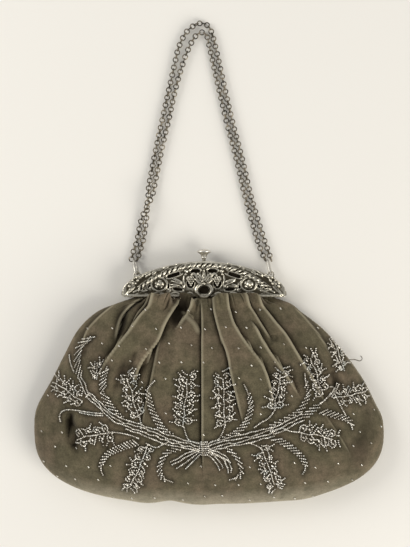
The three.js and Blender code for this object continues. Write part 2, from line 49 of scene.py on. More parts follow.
# Sections from the mouth to the hem, in millimetres: height on the centre line and at the sides, half widths
# to the left and right, height of the side edge, and how far the front and the back stand off that edge.
POUCH_SECTIONS = np.array([
    (110.5, 90, 52, 52, 9.6, 4.4, 4.4),
    (85.8, 85.8, 60, 60, 9.6, 4.4, 4.4),
    (79, 81, 74, 73, 9.8, 11, 8),
    (68, 73.5, 91, 82.5, 10.5, 17, 16),
    (46, 58.8, 106, 101, 11.5, 23, 24),
    (14, 38.6, 117, 118.5, 12, 28, 27),
    (-20, 18.5, 127, 133, 12.5, 30, 28),
    (-52, -2, 138.6, 143.6, 12.5, 29, 28),
    (-69, -14, 142.2, 149.5, 12, 28, 28),
    (-86.5, -26, 142.4, 151.2, 11.5, 26, 28),
])
HEM_SECTION = 7
LAST_SECTION = len(POUCH_SECTIONS) - 1
VELVET_WALL = 1.5
LEAST_FRONT, LEAST_BACK = 4.2, 3.4
BACK_PLEATS = 0.3
BOW_POWER = 2.6
EDGE_POWER = 4
SIDE_TURN, HEM_TURN = 8, 4
FLAT_SHARE = 0.94
# Where the hem is drawn up or sags a little: the middle and the half width of each tuck, and how far up.
HEM_TUCKS = ((-28, 10, 2.6), (-2, 9, -0.8), (-50, 10, -0.8), (84, 16, -1.6))

# Pleats and beads are drawn on squares, counted across and down from a corner at the upper left of the bag.
SQUARE = 0.8165
SQUARE_STEP = np.array([SQUARE, -SQUARE])
BAG_MIDDLE, PATTERN_MIDDLE = np.array([0.84, 106.3]), np.array([205, 273.5])
PATTERN_CORNER = BAG_MIDDLE - PATTERN_MIDDLE * SQUARE_STEP
# A pleat: the line of its groove in squares across and down, its depth and half width in millimetres, and
# the side of the panel that laps over it: 1 for the right one, -1 for the left one and 0 for a soft crease.
PLEATS = [
    ([(114, 302), (99, 315), (92, 322), (86, 329), (82, 337), (80, 350)], 5, 2, 1),
    ([(95, 334), (88, 343), (81, 360)], 2, 2, 0),
    ([(154, 290), (146, 297), (134, 303), (125, 311), (119, 320), (116, 332), (115, 347)], 7, 2.2, -1),
    ([(160, 291), (152, 299), (141, 308), (134, 319), (131, 332)], 4, 1.6, 1),
    ([(172, 286), (162, 293), (152, 303), (140, 315), (131, 328), (119, 343), (110, 355), (102, 367),
      (95, 384)], 7, 2.2, 1),
    ([(188, 289), (180, 299), (171, 312), (164, 324), (157, 341), (149, 352), (141, 363), (136, 375),
      (132, 394)], 8.5, 2.2, -1),
    ([(137, 348), (134, 358), (128, 372), (118, 384), (108, 398)], 2.2, 2.4, 0),
    ([(202, 291), (196, 299), (190, 309), (184, 318), (178, 326), (168, 334)], 8, 2.2, 1),
    ([(184, 310), (190, 317), (197, 325), (202, 338)], 3.6, 5, -1),
    ([(164, 326), (158, 345), (154, 365), (150, 385), (145, 408), (140, 440)], 3.4, 2, 1),
    ([(200, 290), (201, 303), (202.3, 320), (202.3, 350), (202.5, 400), (202.5, 440), (203, 488)], 5, 1.7, 1),
    ([(210, 290), (213, 303), (216, 318), (221, 336), (228, 355), (231, 372), (237, 397), (245, 436)],
     5.5, 1.8, 1),
    ([(223, 291), (228, 305), (233, 322), (241, 336), (250, 348), (260, 361), (266, 374), (270, 388),
      (272, 402), (269, 424)], 6.5, 2, -1),
    ([(250, 318), (256, 328), (262, 340), (269, 351), (279, 365), (288, 378), (304, 402)], 7.5, 2.2, -1),
    ([(234, 290), (243, 299), (252, 309), (260, 322), (267, 333), (276, 345)], 5, 2, -1),
    ([(248, 290), (257, 299), (266, 309), (276, 322), (286, 334), (295, 349), (304, 364), (314, 380),
      (322, 395), (332, 414)], 5.5, 2.4, -1),
    ([(296, 306), (306, 316), (316, 328), (325, 341), (336, 362)], 4.5, 2.2, -1),
    ([(318, 404), (327, 417), (340, 436), (356, 463)], 2.6, 1.7, -1),
    ([(333, 370), (334, 382), (335, 398)], 3.4, 2, 0),
    ([(71.5, 411), (69.6, 418), (70.5, 432), (77, 456)], 6.5, 3.1, 0),
]
PLEAT_POINTS = 60
PLEAT_IN, PLEAT_OUT = (0, 0.15), (0.7, 1)
# Shape of a knife pleat and of a soft crease, as shares of their depth and of their half width.
ROLL_HEIGHT, ROLL_WIDTH, ROLL_FADE = 0.5, 0.9, 4.5
GROOVE_DEPTH, FOLD_EDGE = 0.55, 0.25
CREASE_LIP, CREASE_REACH = 0.3, 2
# A lip is pushed over its groove and worn pale with a painted highlight, and the groove gets painted shade:
# places and widths in half widths.
FULL_DEPTH = 6
LAP, LAP_PLACE, LAP_WIDTH = 0.25, 0.3, 0.6
WEAR_AND_HIGHLIGHT_PLACE, WEAR_AND_HIGHLIGHT_WIDTH = 0.45, 0.4
GROOVE_SHADES = ((0.7, 1.2), (0.3, 6))
SHADE_EDGE = (-0.2, 0.5)
# Hollows between pleats, darkened with painted shade: middle and half sizes in squares, depth in millimetres
# and turn in degrees.
HOLLOWS = [
    (119.5, 324, 6, 18, 7, 13), (179, 314, 8.5, 13, 6.3, 32), (274, 338.5, 5, 3, 3, 0),
    (145, 306, 9, 3.4, 3, -38), (72.5, 432, 5, 13, 5.5, -14), (363, 442, 11, 34, 1.9, 17),
    (122, 372, 5, 13, 2.6, 18), (338, 384, 4, 8, 3, 0),
]
HOLLOW_FULL_DEPTH, HOLLOW_SHADE = 5, 1.3
# Small gathers below the rail: how many, the width that they spread over, where each lies in its share of
# that width, how far it leans, and the ranges of where each ends, of its depth and of its half width.
GATHERS, GATHER_SPREAD, GATHER_PLACES, GATHER_LEAN = 26, 60, (0.2, 0.8), 0.01
GATHER_ENDS, GATHER_DEPTHS, GATHER_HALVES = (1.9, 3.2), (1.2, 2.6), (0.9, 1.5)
GATHER_IN, GATHER_FADE = (1, 1.2), 0.9
# Unevenness of the stretched velvet: height, size across and down, shift and seed of each layer of hills.
SAGS = ((0.9, 27, 24, 7, 11), (0.3, 9, 13, 0, 12))
RIPPLE_HEIGHT, RIPPLE_COUNT, RIPPLE_SHIFT, RIPPLE_LENGTH = 0.3, 34, 40, 1.3
RIPPLE_END = (4.5, 6.5)
BELOW_RAIL = (1.2, 2.2)
# The velvet swells out over the rail of the frame, but not at the oval or at a curled leaf beside it: the
# middle and the half width of each gap, how high and how far it swells, and where that starts and ends.
PUFF_GAPS = ((0, 9), (-24.5, 3))
PUFF_RISE, PUFF_REACH = 6.4, 7.4
PUFF_WAVE, PUFF_WAVE_LENGTH, PUFF_WAVE_SHIFT = 1.1, 6, 20
PUFF_SIDES = (42, 54)
SWELL_IN, SWELL_OUT = (1, 1.18), (1.5, 2.4)
REACH_IN, REACH_OUT = (1.06, 1.3), (1.4, 2.2)
BEHIND_FRAME = 0.95
PLEATS_START = (BEHIND_FRAME, 1.06)
HILLS = 64


def smoothstep(x, low, high):
    """0 below a range and 1 above it, with a soft rise between."""
    t = np.clip((x - low) / (high - low), 0, 1)
    return t * t * (3 - 2 * t)


def window(x, rise, fall):
    """Rises from 0 to 1 over one range and falls back to 0 over another."""
    return smoothstep(x, *rise) * (1 - smoothstep(x, *fall))


def bell(x, middle, half, power=2):
    """1 at a middle, and near 0 about two half widths away from it."""
    return np.exp(-(((x - middle) / half) ** power))


def spline(values, at):
    """Smooth curve through evenly numbered values, or rows of values, read at numbers between them."""
    values = np.asarray(values, float)
    last = len(values) - 1
    left = np.clip(np.floor(at), 0, last - 1).astype(int)
    t = (at - left)[(...,) + (None,) * (values.ndim - 1)]
    a, b, c, d = (values[np.clip(left + i, 0, last)] for i in (-1, 0, 1, 2))
    bend, twist = 2 * a - 5 * b + 4 * c - d, 3 * b - a - 3 * c + d
    return 0.5 * (2 * b + (c - a) * t + bend * t**2 + twist * t**3)


def soft_noise(u, w, seed):
    """Smooth random hills about one unit apart, between about -1 and 1."""
    hills = np.random.default_rng(seed).uniform(-1, 1, (HILLS, HILLS))
    iu, iw = np.floor(u).astype(int), np.floor(w).astype(int)
    fu, fw = smoothstep(u - iu, 0, 1), smoothstep(w - iw, 0, 1)
    edges = []
    for step in (0, 1):
        one, other = (hills[(iu + i) % HILLS, (iw + step) % HILLS] for i in (0, 1))
        edges.append(one * (1 - fu) + other * fu)
    return edges[0] * (1 - fw) + edges[1] * fw


def from_squares(places):
    """Millimetres of places given in squares across and down."""
    return PATTERN_CORNER + np.asarray(places, float) * SQUARE_STEP


def to_squares(points):
    """Squares across and down of points in millimetres."""
    return (points - PATTERN_CORNER) / SQUARE_STEP


def pleat_height(off, depth, half):
    """A knife pleat: a rolled lip that falls off slowly on one side, and a steep groove on the other."""
    out, into = np.maximum(off, 0), np.minimum(off, 0)
    lip = np.sqrt(1 - (1 - np.minimum(out / (ROLL_WIDTH * half), 1)) ** 2)
    roll = lip * np.exp(-out / (ROLL_FADE * half))
    groove = -GROOVE_DEPTH * np.exp(into / half)
    edge = smoothstep(off, -FOLD_EDGE * half, FOLD_EDGE * half)
    return depth * (edge * ROLL_HEIGHT * roll + (1 - edge) * groove)


def crease_height(off, depth, half):
    """A soft crease with a low swelling along both sides."""
    far = np.abs(off) / half
    return depth * (CREASE_LIP * bell(far, CREASE_REACH, 1) - bell(far, 0, 1))


def pleats_at(s, v, x, y):
    """Height and sideways push of all pleats, hollows and small gathers, their worn lips with a painted
    highlight, and their painted shade.
    """
    height, push, wear_and_highlight, painted_shade = (np.zeros_like(x) for _ in range(4))

    def lay(away, strength, depth, half, lip):
        """Adds one pleat, by how far each point is from its line."""
        off = lip * away if lip else away
        height[...] += strength * (pleat_height if lip else crease_height)(off, depth, half)
        deep = strength * min(depth / FULL_DEPTH, 1)
        if lip:
            push[...] -= lip * LAP * depth * strength * bell(off / half, LAP_PLACE, LAP_WIDTH)
            # Lips are paler: wear with a painted highlight.
            wear_and_highlight[...] = np.maximum(wear_and_highlight, deep * bell(off / half, WEAR_AND_HIGHLIGHT_PLACE, WEAR_AND_HIGHLIGHT_WIDTH))
            # Painted shade falls into the groove beside the lip.
            into = np.minimum(off, 0) / half
            shadow = sum(share * np.exp(into / reach) for share, reach in GROOVE_SHADES)
            shadow = shadow * (1 - smoothstep(off, *SHADE_EDGE))
        else:
            shadow = bell(off, 0, half)
        painted_shade[...] = np.maximum(painted_shade, deep * shadow)

    for line, depth, half, lip in PLEATS:
        line = spline(from_squares(line), np.linspace(0, len(line) - 1, PLEAT_POINTS))[::-1]
        lean = np.gradient(line[:, 0], line[:, 1])
        away = (x - np.interp(y, line[:, 1], line[:, 0])) / np.hypot(1, np.interp(y, line[:, 1], lean))
        along = (line[-1, 1] - y) / (line[-1, 1] - line[0, 1])
        lay(away, window(along, PLEAT_IN, PLEAT_OUT), depth, half, lip)
    for across, down, wide, tall, depth, turn in HOLLOWS:
        away = to_squares(np.stack([x, y], axis=-1)) - (across, down)
        c, n = math.cos(math.radians(turn)), math.sin(math.radians(turn))
        sunk = bell(away @ (c, n), 0, wide) * bell(away @ (-n, c), 0, tall)
        height -= depth * sunk
        # Painted shade in the hollow.
        shadow = min(depth / HOLLOW_FULL_DEPTH, 1) * HOLLOW_SHADE * sunk
        painted_shade[...] = np.maximum(painted_shade, np.minimum(shadow, 1))
    rng = np.random.default_rng(4)
    for i in range(GATHERS):
        place = -FLAT_SHARE + 2 * FLAT_SHARE * (i + rng.uniform(*GATHER_PLACES)) / GATHERS
        last, depth, half = (rng.uniform(*limits) for limits in (GATHER_ENDS, GATHER_DEPTHS, GATHER_HALVES))
        fade = window(v, GATHER_IN, (last - GATHER_FADE, last))
        away = (s - place - rng.uniform(-GATHER_LEAN, GATHER_LEAN) * (v - 1)) * GATHER_SPREAD
        lay(away, fade, depth, half, rng.integers(-1, 2))
    return height, push, wear_and_highlight, painted_shade


def pouch_face(s, v, face, depth):
    """Points of one face of the velvet on a grid of columns s and rows v, its worn lips with a painted
    highlight, and its painted shade.
    """
    s, v = np.meshgrid(s, v)
    y_mid, y_side, left, right, edge, front, back = np.moveaxis(spline(POUCH_SECTIONS, v), -1, 0)
    hem = np.clip((v - HEM_SECTION) / (LAST_SECTION - HEM_SECTION), 0, 1)
    rounding = np.sqrt(np.maximum(1 - np.abs(s) ** EDGE_POWER, 0)) * np.sqrt(np.maximum(1 - hem**2, 0))
    bow = np.maximum(1 - np.abs(s) ** BOW_POWER, 0) ** (1 / BOW_POWER)
    x, y = s * np.where(s < 0, left, right), y_side + (y_mid - y_side) * bow
    for middle, half, up in HEM_TUCKS:
        y = y + up * hem**2 * bell(x, middle, half)
    pleats, push, wear_and_highlight, painted_shade = pleats_at(s, v, x, y)
    pleats, push, wear_and_highlight = (part * smoothstep(v, *PLEATS_START) for part in (pleats, push, wear_and_highlight))
    if face > 0:
        sag = sum(high * soft_noise(x / wide + shift, y / tall + shift, seed)
                  for high, wide, tall, shift, seed in SAGS)
        ripple = RIPPLE_HEIGHT * soft_noise(s * RIPPLE_COUNT + RIPPLE_SHIFT, v * RIPPLE_LENGTH, 13)
        uneven = smoothstep(v, *BELOW_RAIL) * (sag + ripple * (1 - smoothstep(v, *RIPPLE_END)))
        bulge = 1 - smoothstep(np.abs(x), *PUFF_SIDES)
        for middle, half in PUFF_GAPS:
            bulge = bulge * (1 - bell(x, middle, half, 4))
        waves = soft_noise(x / PUFF_WAVE_LENGTH + PUFF_WAVE_SHIFT, np.full_like(x, 0.5), 14)
        y = y + bulge * window(v, REACH_IN, REACH_OUT) * (PUFF_REACH + PUFF_WAVE * waves)
        rise = np.maximum(front + pleats + uneven, LEAST_FRONT)
        rise = rise + PUFF_RISE * bulge * window(v, SWELL_IN, SWELL_OUT)
        z = edge + rise * rounding
        x = x + push * rounding
    else:
        rise = np.maximum(back + BACK_PLEATS * pleats, LEAST_BACK)
        z = edge - np.minimum(edge, rise * rounding)
    inwards = np.stack([-np.sign(s) * np.abs(s) ** SIDE_TURN, hem**HEM_TURN, -face * rounding], axis=-1)
    inwards /= np.linalg.norm(inwards, axis=-1, keepdims=True)
    points = np.stack([x, y, z], axis=-1) + inwards * depth
    # Behind the frame the velvet gets full painted shade, and the back face gets none.
    painted_shade = np.where(v < BEHIND_FRAME, 1, painted_shade * (face > 0))
    return points * MM, wear_and_highlight * (face > 0), painted_shade


# Columns and rows lie closer where the velvet turns at the sides, over the rail and at the hem. The inside
# has one row in six, and all rows near the rail.
FLAT_COLUMNS, SIDE_COLUMNS = 381, 9
MOUTH_ROWS, RAIL_ROWS, BODY_ROWS, HEM_ROWS = 5, 24, 54, 17
RAIL_SECTION, BODY_SECTION = 1, 2.2
INNER_STEP, FINE_FROM, FINE_TO = 6, 0.7, 1.4


def quarter_turn(count):
    """Shares of the way round a rounded edge, closer together towards its end."""
    return np.sin(np.linspace(0, np.pi / 2, count))[1:]


flat_columns = np.linspace(-FLAT_SHARE, FLAT_SHARE, FLAT_COLUMNS)
side_turn = quarter_turn(SIDE_COLUMNS) * (1 - FLAT_SHARE)
columns = np.concatenate([-FLAT_SHARE - side_turn[::-1], flat_columns, FLAT_SHARE + side_turn])
rows = np.concatenate([
    np.linspace(0, RAIL_SECTION, MOUTH_ROWS)[:-1],
    np.linspace(RAIL_SECTION, BODY_SECTION, RAIL_ROWS)[:-1],
    np.linspace(BODY_SECTION, HEM_SECTION, BODY_ROWS),
    HEM_SECTION + (LAST_SECTION - HEM_SECTION) * quarter_turn(HEM_ROWS)])
near_rail = (rows > FINE_FROM) & (rows < FINE_TO)
inner_rows = np.unique(np.concatenate([rows[::INNER_STEP], rows[near_rail], rows[-1:]]))


def grid_faces(row_count, column_count, start, outwards):
    """Faces of a grid of points numbered from start, which look up where outwards is true."""
    r, c = np.meshgrid(np.arange(row_count - 1), np.arange(column_count - 1), indexing="ij")
    a = (start + r * column_count + c).ravel()
    ring = np.stack([a, a + column_count, a + column_count + 1, a + 1], axis=1)
    return ring if outwards else ring[:, ::-1]


def new_piece(name, points, faces, edges=(), smooth=False):
    """Mesh object at the origin, with its place in its points."""
    mesh = bpy.data.meshes.new(name)
    mesh.from_pydata(np.asarray(points).tolist(), list(edges), [[int(i) for i in face] for face in faces])
    mesh.polygons.foreach_set("use_smooth", [smooth] * len(mesh.polygons))
    piece = bpy.data.objects.new(name, mesh)
    bpy.context.scene.collection.objects.link(piece)
    return piece


def store(mesh, name, kind, values):
    """Keeps a value, or a vector, for each point of a mesh."""
    kept = mesh.attributes.new(name, kind, "POINT")
    field = "vector" if kind == "FLOAT_VECTOR" else "value"
    kept.data.foreach_set(field, np.asarray(values, np.float32).ravel())


def baked(piece):
    """Turns a piece and its modifiers into a plain mesh."""
    solid = bpy.data.meshes.new_from_object(piece.evaluated_get(bpy.context.evaluated_depsgraph_get()))
    piece.modifiers.clear()
    piece.data = solid
    return piece


pouch_points, pouch_faces, pouch_wear_and_highlight, pouch_painted_shade, pouch_lay = [], [], [], [], []
mouth_rings, start = {}, 0
for depth, face_rows in ((0, rows), (VELVET_WALL, inner_rows)):
    for face in (1, -1):
        points, wear_and_highlight, painted_shade = pouch_face(columns, face_rows, face, depth)
        lay_s, lay_v = np.meshgrid(columns, face_rows)
        pouch_points.append(points.reshape(-1, 3))
        pouch_painted_shade.append(painted_shade.ravel())
        pouch_wear_and_highlight.append(wear_and_highlight.ravel())
        pouch_lay.append(np.stack([lay_s, lay_v, np.full_like(lay_s, face)], axis=-1).reshape(-1, 3))
        pouch_faces.append(grid_faces(len(face_rows), len(columns), start, (face > 0) == (depth == 0)))
        mouth_rings[face, depth] = start + np.arange(len(columns))
        start += len(pouch_points[-1])
for face in (1, -1):
    outer, inner = mouth_rings[face, 0], mouth_rings[face, VELVET_WALL]
    rim = np.stack([outer[:-1], outer[1:], inner[1:], inner[:-1]], axis=1)
    pouch_faces.append(rim if face > 0 else rim[:, ::-1])
pouch = new_piece("pouch_velvet", np.concatenate(pouch_points), np.concatenate(pouch_faces), smooth=True)
store(pouch.data, "painted_shade", "FLOAT", np.concatenate(pouch_painted_shade))
store(pouch.data, "wear_and_highlight", "FLOAT", np.concatenate(pouch_wear_and_highlight))
store(pouch.data, "lay", "FLOAT_VECTOR", np.concatenate(pouch_lay))
weld = pouch.modifiers.new("weld", "WELD")
weld.merge_threshold = 0.01 * MM
baked(pouch)


def connect(tree, node, sockets):
    """Sets inputs of a node to values, or joins them to other nodes' outputs."""
    for name, value in sockets.items():
        if isinstance(value, bpy.types.NodeSocket):
            tree.links.new(value, node.inputs[name])
        else:
            node.inputs[name].default_value = value


def add(tree, kind, sockets=None, **settings):
    """New node with its settings and its inputs."""
    made = tree.nodes.new(kind)
    for name, value in settings.items():
        setattr(made, name, value)
    connect(tree, made, sockets or {})
    return made


def new_material(name):
    """New material with its tree and its main shader."""
    material = bpy.data.materials.new(name)
    material.use_nodes = True
    return material, material.node_tree, material.node_tree.nodes["Principled BSDF"]


def object_place(tree):
    """Place on the object, for patterns that stay with it."""
    return add(tree, "ShaderNodeTexCoord").outputs["Object"]


def attribute(tree, name, output="Fac"):
    """Value or vector that is kept at the mesh's points."""
    return add(tree, "ShaderNodeAttribute", attribute_name=name).outputs[output]


def noise(tree, place, scale, detail, roughness=0.5):
    """Cloudy value about 0.5."""
    sockets = {"Vector": place, "Scale": scale, "Detail": detail, "Roughness": roughness}
    return add(tree, "ShaderNodeTexNoise", sockets).outputs[0]


def calc(tree, operation, *values, clamp=False):
    """Result of one sum on values or outputs."""
    made = add(tree, "ShaderNodeMath", dict(enumerate(values)), operation=operation, use_clamp=clamp)
    return made.outputs[0]


def blend_colors(tree, share, low, high, how="MIX"):
    """Colour between two others by a share from 0 to 1."""
    mixed = add(tree, "ShaderNodeMix", {0: share, 6: low, 7: high}, data_type="RGBA", blend_type=how)
    return mixed.outputs[2]


def spread(tree, value, low, high, to_low=0.0, to_high=1.0):
    """Takes a value's range to another one, and stops at its ends."""
    mapped = add(tree, "ShaderNodeMapRange", {0: value, 1: low, 2: high, 3: to_low, 4: to_high}, clamp=True)
    return mapped.outputs[0]


OLIVE_VELVET, BROWN_VELVET = (0.112, 0.096, 0.057, 1), (0.132, 0.102, 0.066, 1)
GROOVE_SHADOW, BEAD_SHADOW = (0.016, 0.012, 0.007, 1), (0.02, 0.016, 0.009, 1)
# Pale lip colour: wear with a painted highlight. Pale hem colour: painted sheen.
RUBBED_LIP_HIGHLIGHT, HEM_SHEEN = (0.36, 0.32, 0.22, 1), (0.34, 0.31, 0.23, 1)
velvet, tree, shader = new_material("velvet")
place = object_place(tree)
lay = attribute(tree, "lay", "Vector")
lay_parts = add(tree, "ShaderNodeSeparateXYZ", {"Vector": lay})
down_the_pouch = lay_parts.outputs["Y"]
from_the_middle = calc(tree, "ABSOLUTE", lay_parts.outputs["X"])
along_nap = add(tree, "ShaderNodeMapping", {"Vector": lay, "Scale": (30, 2.2, 1)}).outputs[0]
patches = spread(tree, noise(tree, place, 30, 5, 0.65), 0.42, 0.62)
rubbed = noise(tree, place, 120, 4, 0.65)
nap = spread(tree, rubbed, 0.3, 0.7, 0.7, 1.26)
# The velvet is darker towards the hem.
darker_towards_hem = spread(tree, down_the_pouch, 2.5, 6.5, 1.02, 0.82)
streaks = spread(tree, noise(tree, along_nap, 1, 3), 0.3, 0.7, 0.93, 1.07)
specks = spread(tree, noise(tree, place, 800, 2), 0.3, 0.7, 0.84, 1.16)
for share in (darker_towards_hem, streaks, specks):
    nap = calc(tree, "MULTIPLY", nap, share)
shade = add(tree, "ShaderNodeCombineColor", {0: nap, 1: nap, 2: nap}).outputs[0]
# Painted sheen: the velvet is paler along the turn of the hem, fading towards the sides.
hem_sheen = spread(tree, down_the_pouch, 8.05, 8.95, 0, 0.85)
for share in (nap, spread(tree, from_the_middle, 0.55, 0.85, 1, 0.1)):
    hem_sheen = calc(tree, "MULTIPLY", hem_sheen, share, clamp=True)
cloth = blend_colors(tree, patches, OLIVE_VELVET, BROWN_VELVET)
cloth = blend_colors(tree, 1, cloth, shade, "MULTIPLY")
# Painted shade in the grooves, in the hollows and behind the frame.
cloth = blend_colors(tree, spread(tree, attribute(tree, "painted_shade"), 0.05, 0.78, 0, 0.95), cloth, GROOVE_SHADOW)
# Around the bead rows: soiled pile and painted shade.
cloth = blend_colors(tree, spread(tree, attribute(tree, "sewn"), 0, 0.9, 0, 0.8), cloth, BEAD_SHADOW)
# Pale lips: wear with a painted highlight.
cloth = blend_colors(tree, spread(tree, attribute(tree, "wear_and_highlight"), 0.15, 0.9, 0, 0.7), cloth, RUBBED_LIP_HIGHLIGHT)
cloth = blend_colors(tree, hem_sheen, cloth, HEM_SHEEN)
crushed = calc(tree, "ADD", noise(tree, place, 1500, 2), rubbed)
fuzz = add(tree, "ShaderNodeBump", {"Height": crushed, "Strength": 0.5, "Distance": 0.0006})
connect(tree, shader, {
    "Base Color": cloth, "Normal": fuzz.outputs[0], "Roughness": 0.95, "Specular IOR Level": 0.12,
    "Sheen Weight": 0.45, "Sheen Roughness": 0.4, "Sheen Tint": (0.6, 0.53, 0.4, 1)})
pouch.data.materials.append(velvet)
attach(pouch, "bag")
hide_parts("pouch")


# Beadwork: cut steel beads sewn on the velvet in rows before it was gathered: ears of flowers and satin
# plumes on a spray of branches that spreads from a knot, and single beads scattered over the ground.

BEAD_RADIUS, BEAD_PITCH = 0.69 * MM, 1.34 * MM
HEART_RADIUS, SINGLE_RADIUS = 0.825 * MM, 0.58 * MM
NEEDLE_HEIGHT, SEATED_AT, FACE_UP = 0.2, 0.8, 0.6
# Points between two drawn ones. Then, in squares: steps along a path, gaps between rows and between
# strokes, and the least length of a row.
CURVE_POINTS, ROW_STEP, PLUME_STEP = 24, 0.7, 0.25
ROW_GAP, PLUME_ROW_GAP, STROKE_GAP = 2.05, 1.5, 2.6
LEAST_ROW, LEAST_STROKE = 3.0, 1.6
JOIN_POINTS, SPRING_POINTS = 2, 6
WAVER_LENGTH, WAVER_SHIFT = 5.5, 30
OPEN_BY, TAIL_OVERLAP = 0.4, 0.02
# An ear: the length of a tier, the range of a flower's size and place as shares of the ear's half width, and
# of its tilt. Then its ring, its barbs, the rows beside it and the tuft at the tip.
TIER_LENGTH, TIER_JITTER, STEM_WAVER, OFF_STEM = 8.2, 0.12, 0.9, 0.8
FLOWER_SIZES, FLOWER_PLACES, FLOWER_TILTS = (0.27, 0.34), (0.42, 0.52), (-0.2, 0.8)
RING_TURNS, RING_LONG, RING_WIDE = np.linspace(-2.6, 2.7, 8), 1.15, 0.9
BARB_BENDS, BARB_START, BARB_LENGTHS, BARB_BOW = (-0.5, 0.4, 1.1), 1.1, (2.6, 5.5), 0.8
SIDE_ROW_RISES, SIDE_ROW_ENDS = (0.35, 0.6), (0.6, 0.95)
TUFT_SIDES, TUFT_ENDS = (-1.0, -0.3, 0.5, 1.1), (0.8, 1.1)
velvet_tree = BVHTree.FromPolygons(pouch_points[0].tolist(), pouch_faces[0].tolist())
bead_rows = []
hearts = []


def on_velvet(path):
    """Points of a drawn path on the velvet's front, and the way that the velvet faces there."""
    places, facing = [], []
    for spot in path:
        x, y = from_squares(spot) * MM
        hit, normal, _, _ = velvet_tree.ray_cast(Vector((x, y, NEEDLE_HEIGHT)), Vector((0, 0, -1)))
        if hit is not None:
            normal = (normal + Vector((0, 0, FACE_UP))).normalized()
            places.append(hit + normal * BEAD_RADIUS * SEATED_AT)
            facing.append(normal)
    return places, facing


def drawn(points, step=ROW_STEP):
    """Smooth path through drawn points, with points a step apart."""
    points = np.asarray(points, float)
    path = spline(points, np.linspace(0, len(points) - 1, CURVE_POINTS * len(points)))
    run = np.concatenate([[0], np.cumsum(np.linalg.norm(np.diff(path, axis=0), axis=1))])
    even = np.linspace(0, run[-1], max(round(run[-1] / step) + 1, 3))
    return np.stack([np.interp(even, run, path[:, 0]), np.interp(even, run, path[:, 1])], axis=1)


def lay_row(points, earlier, least=LEAST_ROW, gap=ROW_GAP):
    """Lays the longest stretch of a path that is clear of earlier rows, joined to one that it starts on."""
    path = drawn(points)
    near = np.linalg.norm(path[:, None] - np.concatenate(earlier)[None], axis=2).min(axis=1) < gap
    ends = np.flatnonzero(np.diff(np.concatenate([[True], near, [True]]).astype(int)))
    if len(ends):
        first, after = max(ends.reshape(-1, 2), key=np.ptp)
        start = first - JOIN_POINTS if first <= SPRING_POINTS else first
        stretch = path[max(start, 0):after]
        if np.linalg.norm(np.diff(stretch, axis=0), axis=1).sum() > least:
            bead_rows.append(stretch)


def row(*points):
    """One row of beads."""
    bead_rows.append(drawn(points))


def side_by_side(points, offsets, bound=1.0):
    """Rows that run along one path, set off to its sides, and drawn together by a share at its start."""
    path = drawn(points)
    opening = bound + (1 - bound) * smoothstep(np.linspace(0, 1, len(path)), 0, OPEN_BY)[:, None]
    along = np.gradient(path, axis=0)
    across = np.stack([-along[:, 1], along[:, 0]], axis=1) / np.linalg.norm(along, axis=1, keepdims=True)
    for offset in offsets:
        wave_x, wave_y = path[:, :1] / WAVER_LENGTH + offset, path[:, 1:] / WAVER_LENGTH + WAVER_SHIFT
        waver = soft_noise(wave_x, wave_y, 15)
        bead_rows.append(path + across * (offset * opening + waver))


def plume(points, lean, long, tip=0.86):
    """Short slanted rows along a spine, as in a satin stitched cord, which end in a thin tail.

    The lean of the rows, in degrees, and their length change from the foot to the tip."""
    path = drawn(points, PLUME_STEP)
    last = len(path) - 1
    earlier = list(bead_rows)
    at = 0
    while at < tip * last:
        share = at / last
        along = path[at + 2] - path[max(at - 2, 0)]
        slant = math.radians(lean[0] + (lean[1] - lean[0]) * share**2)
        angle = math.atan2(along[1], along[0]) + slant
        reach = np.array([math.cos(angle), math.sin(angle)]) * (long[0] + (long[1] - long[0]) * share) / 2
        lay_row([path[at] - reach, path[at] + reach], earlier, LEAST_STROKE, PLUME_ROW_GAP)
        at += round(STROKE_GAP / abs(math.sin(slant)) / PLUME_STEP)
    bead_rows.append(path[int((tip - TAIL_OVERLAP) * last)::2])


